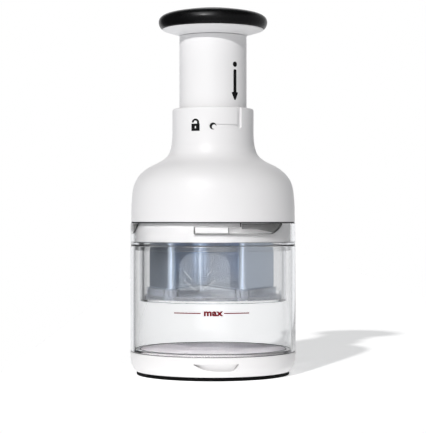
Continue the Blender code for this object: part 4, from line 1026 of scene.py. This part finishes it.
def make_padlock_mark():
    """A generic open padlock: body with a keyhole, and a shackle with one short leg."""
    radius = NECK_RADIUS + INK_RISE
    azimuth, height = -25.0, 150.4 * MM
    body = box_outline(-2.7, 2.7, -3.4, 0.9)
    keyhole = [(0.42, -1.9), (0.42, -0.7), (0.0, -0.4), (-0.42, -0.7), (-0.42, -1.9)]
    outer_half, outer_rise, inner_half, inner_rise = 2.4, 2.1, 1.05, 0.95
    arch_foot, long_foot, short_foot = 1.8, 0.7, 1.6
    outer = arch_outline(outer_half, outer_rise, arch_foot)
    inner = arch_outline(inner_half, inner_rise, arch_foot)
    shackle = [(outer_half, long_foot)] + outer + [(-outer_half, short_foot), (-inner_half, short_foot)]
    shackle += inner[::-1] + [(inner_half, long_foot)]
    for name, outlines in (("lock_body", (body, keyhole)), ("lock_shackle", (shackle,))):
        drawn = [in_mm(outline) for outline in outlines]
        print_mark(name, drawn, radius, azimuth, height, BLACK_INK, "housing", "white_plastic")


# Plunger and knob


def make_plunger():
    """The white tube that slides in the neck, with three latches near its foot."""
    low, high = span_of("plunger_sleeve")
    bore, shaft_hole = 18.5 * MM, 4.3 * MM
    ceiling = high - 2.2 * MM
    ceiling_edge = 0.5 * MM
    corners = (
        (shaft_hole, high), (PLUNGER_RADIUS, high, FINE_EDGE), (PLUNGER_RADIUS, low, SOFT_EDGE),
        (bore, low, EDGE), (bore, ceiling, ceiling_edge), (shaft_hole, ceiling),
    )
    sleeve = lathe("plunger_tube", softened(corners), TUBE_ROUND)
    middle, half = 90.0, 9.0
    latch = level_bar(middle - half, middle + half, low + 2.5 * MM, low + 5.5 * MM)
    root, tip = PLUNGER_RADIUS - 1.0 * MM, 22.5 * MM
    boolean(sleeve, bent_bars("latches", thrice(latch), root, tip), "UNION")
    dress(sleeve, WHITE, "knob", "white_plastic", "plunger_sleeve")


def make_arrow_mark():
    """The arrow and the dot over the neck's open track, printed on the plunger."""
    radius = PLUNGER_RADIUS + INK_RISE
    dot_radius, dot_height = 1.6 * MM, 187.4 * MM
    arrow = in_mm(((-1.15, 183.6), (-0.8, 184.3), (0.8, 184.3), (1.15, 183.6), (1.15, 170.8), (2.3, 170.5),
                   (2.3, 169.8), (0.5, 166.0), (-0.5, 166.0), (-2.3, 169.8), (-2.3, 170.5), (-1.15, 170.8)))
    marks = (("arrow_mark", arrow, 0.0), ("dot_mark", disc_outline(dot_radius), dot_height))
    for name, outline, height in marks:
        print_mark(name, [outline], radius, LOCK_TURN, height, BLACK_INK, "knob", "white_plastic")


def make_knob():
    """The white flared cap, with a seat for the pad."""
    foot = foot_of("knob_cap")
    flare = foot_of("knob_pad") - GAP
    rim = top_of("knob_pad") - 7.6 * MM
    seat, wall = 26.8 * MM, 29.8 * MM
    hole = 8.0 * MM
    drops = ((30.9, 0.0), (30.5, 0.5), (27.7, 1.4), (24.8, 2.3), (21.9, 3.0))
    underside = [(radius * MM, flare - drop * MM) for radius, drop in drops] + [(PLUNGER_RADIUS, foot)]
    outline = [(seat, rim), (29.0 * MM, rim - 0.4 * MM), (wall, rim - 1.6 * MM), (wall, flare)]
    outline += smooth_curve(underside) + [(hole, foot)]
    outline += [(hole, 208.2 * MM), (PLUNGER_RADIUS, 208.6 * MM), (seat, 211.2 * MM)]
    dress(lathe("knob_flare", outline), WHITE, "knob", "white_plastic", "knob_cap")


def make_knob_pad():
    """The soft black pad: its crown as radii and drops from the top, then its underside."""
    top = top_of("knob_pad")
    crown = smooth_curve((
        (0.0, 0.0), (8.0, 0.35), (14.0, 1.1), (20.0, 2.05), (24.0, 2.75), (27.0, 3.4), (29.0, 4.0),
        (31.0, 5.0), (32.4, 6.3), (33.05, 7.8), (33.1, 9.4), (32.6, 11.1), (31.8, 12.3), (31.2, 12.7),
    ))
    underside = [(30.1, 12.7), (30.1, 9.0), (29.2, 7.6), (26.3, 7.3), (20.0, 5.4), (0.0, 3.6)]
    outline = [(radius * MM, top - drop * MM) for radius, drop in crown + underside]
    dress(lathe("knob_pad_soft", outline), BLACK, "knob", "black_rubber", "knob_pad")


def make_spring():
    """The return spring as one round coil, squashed by the press."""
    low, high = span_of("return_spring")
    wire, coil_radius = 0.8 * MM, 14 * MM
    turns, per_turn = 10, 24
    curve = bpy.data.curves.new("spring_coil", "CURVE")
    curve.dimensions = "3D"
    curve.bevel_depth = wire
    curve.bevel_resolution = 2
    curve.use_fill_caps = True
    spline = curve.splines.new("POLY")
    count = turns * per_turn
    spline.points.add(count)
    for i in range(count + 1):
        turn = math.tau * turns * i / count
        height = low + wire + (high - low - 2 * wire) * i / count
        spline.points[i].co = (coil_radius * math.cos(turn), coil_radius * math.sin(turn), height, 1.0)
    coil = dress(welded(curve, "spring_coil"), HARDWARE, "housing", "hardware_steel", "return_spring")
    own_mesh(coil)


def dress_nodes():
    """Materials for the CAD nodes whose own shape is kept."""
    finishes = {
        "wiper": MILKY, "blade_carrier": WHITE, "mechanism_plate": WHITE, "neck_bush": GREY,
        "index_nut": GREY, "thrust_washer": GREY, "nut_keeper": HARDWARE, "drive_shaft": HARDWARE,
        "retaining_clip": HARDWARE,
    }
    for group, count in (("housing", 3), ("carrier", 2), ("knob", 3)):
        for i in range(count):
            finishes[f"{group}_screw_{i + 1}"] = HARDWARE
    for name, material in finishes.items():
        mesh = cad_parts[name].data
        mesh.materials.clear()
        mesh.materials.append(material)


# Stage, light and camera


def background_rays(tree):
    """Light Path switches for camera, glass and gloss, each before any matt surface is met."""
    path = tree.add("LightPath", {}).outputs
    direct = tree.maths("LESS_THAN", path["Diffuse Depth"], 0.5)
    mirrored = tree.maths("GREATER_THAN", path["Glossy Depth"], 0.5)
    mirrored = tree.maths("MULTIPLY", path["Is Glossy Ray"], mirrored)
    glass = tree.maths("MULTIPLY", path["Is Transmission Ray"], direct)
    gloss = tree.maths("MULTIPLY", mirrored, direct)
    return path["Is Camera Ray"], glass, gloss


def room_level(tree, across, up):
    """What matt surfaces get: a dim room, lighter overhead and bright below the horizon."""
    sides, overhead = (-0.8, 0.8), (0.15, 0.75)
    below_sides, horizon = (-0.6, 0.6), (-0.06, 0.0)
    level = tree.ramp(across, sides, (ROOM_LEFT, ROOM_RIGHT))
    below = tree.ramp(across, below_sides, (BELOW_LEFT, BELOW_RIGHT))
    level = tree.ramp(up, overhead, (level, ROOM_TOP))
    return tree.ramp(up, horizon, (below, level))


def gloss_level(tree, across, behind, up):
    """What gloss shows: grey sides and front, a white back, a dark ceiling and a softbox, upper left."""
    sides, front, ahead, back = (-0.75, 0.75), (-0.85, -0.1), (-0.99, -0.87), (0.78, 0.9)
    overhead = (0.45, 0.7)
    level = tree.ramp(across, sides, (MIRROR_LEFT, MIRROR_RIGHT))
    level = tree.ramp(behind, front, (MIRROR_FRONT, level))
    level = tree.ramp(behind, ahead, (MIRROR_AHEAD, level))
    level = tree.ramp(behind, back, (level, 1.0))
    level = tree.ramp(up, overhead, (level, CEILING))
    box_left, box_right, box_front, box_foot = (-0.6, -0.4), (-0.15, 0.1), (-0.3, -0.1), (0.2, 0.45)
    box = tree.ramp(across, box_left, (0.0, SOFTBOX))
    box = tree.ramp(across, box_right, (box, 0.0))
    box = tree.ramp(behind, box_front, (box, 0.0))
    box = tree.ramp(up, box_foot, (0.0, box))
    return tree.maths("ADD", level, box)


def make_world():
    """White where it is seen, a dim room for matt surfaces, and a studio each for gloss and glass."""
    world = bpy.data.worlds.new("studio")
    bpy.context.scene.world = world
    tree = Tree(world)
    camera, glass, gloss = background_rays(tree)
    across, behind, up = tree.axes("Generated")
    glass_overhead = (0.3, 0.55)
    glass_level = tree.ramp(up, glass_overhead, (1.0, CEILING))
    room = tree.background(ROOM_COLOUR, room_level(tree, across, up))
    in_gloss = tree.background(GLOSS_COLOUR, gloss_level(tree, across, behind, up))
    in_glass = tree.background(PLAIN_WHITE, glass_level)
    backdrop = tree.background(PLAIN_WHITE, 1.0)
    studio = tree.mix_shaders(glass, room, in_glass)
    studio = tree.mix_shaders(gloss, studio, in_gloss)
    studio = tree.mix_shaders(camera, studio, backdrop)
    tree.feed(tree.nodes["World Output"], {"Surface": studio})


def floor_material():
    """A pale floor with a glow, which gloss doesn't see to the right of the chopper."""
    finish = Finish("pale_floor")
    gloss = background_rays(finish)[-1]
    across = finish.axes("Object")[0]
    fade = (0.08, 0.16)
    hidden = finish.ramp(across, fade, (0.0, gloss))
    shown = finish.maths("SUBTRACT", 1.0, hidden)
    glow = finish.maths("MULTIPLY", shown, FLOOR_GLOW)
    finish.set({"Base Color": (0.95, 0.95, 0.95, 1.0), "Roughness": 1.0, "Specular IOR Level": 0.0})
    finish.set({"Emission Color": (*PLAIN_WHITE, 1.0), "Emission Strength": glow})
    return finish.material


def make_floor():
    shape = bmesh.new()
    corners = box_outline(FLOOR_LEFT, FLOOR_RIGHT, FLOOR_FRONT, FLOOR_BACK)
    shape.faces.new([shape.verts.new((x, y, 0.0)) for x, y in corners])
    floor = mesh_object(shape, "floor")
    floor.data.materials.append(floor_material())


def add_sun(name, azimuth, elevation, strength, softness, colour):
    """A sun that shines from an azimuth and a height in degrees onto the foot of the axis."""
    lamp = bpy.data.lights.new(name, "SUN")
    lamp.energy = strength
    lamp.angle = math.radians(softness)
    lamp.color = colour
    rise = math.radians(elevation)
    place = around(2.0 * math.cos(rise), azimuth, 2.0 * math.sin(rise))
    obj = bpy.data.objects.new(name, lamp)
    obj.location = place
    obj.rotation_euler = (-place).to_track_quat("-Z", "Y").to_euler()
    bpy.context.scene.collection.objects.link(obj)
    return obj


def make_lights():
    add_sun("key", azimuth=-20.0, elevation=31.7, strength=KEY_LEVEL, softness=2.0, colour=(1.0, 0.99, 0.98))
    fill = add_sun("fill", azimuth=14.0, elevation=15.0, strength=FILL_LEVEL, softness=50.0,
                   colour=(0.985, 0.985, 1.0))
    fill.visible_glossy = False


def make_camera():
    """The photo's view: level, on the axis, 161 px wide and 383 px tall in a 426 by 433 frame."""
    frame_height_px = 433
    pixels_per_metre = 1637.0
    distance = 0.95
    eye_height = 95.9 * MM
    camera = bpy.data.cameras.new("camera")
    camera.sensor_width = 36.0
    camera.lens = pixels_per_metre * distance * camera.sensor_width / frame_height_px
    camera.clip_start = 0.01
    obj = bpy.data.objects.new("camera", camera)
    obj.location = (0.0, -distance, eye_height)
    obj.rotation_euler = (math.pi / 2, 0.0, 0.0)
    bpy.context.scene.collection.objects.link(obj)
    bpy.context.scene.camera = obj


make_foot_ring()
make_base()
make_chopping_floor()
make_base_lines()
make_cup()
make_fill_mark()
make_guard()
make_arch_reflection()
make_locking_ring()
make_blade()
make_housing()
make_padlock_mark()
make_plunger()
make_arrow_mark()
make_knob()
make_knob_pad()
make_spring()
dress_nodes()
make_world()
make_floor()
make_lights()
make_camera()
bpy.context.scene.view_settings.view_transform = "Standard"
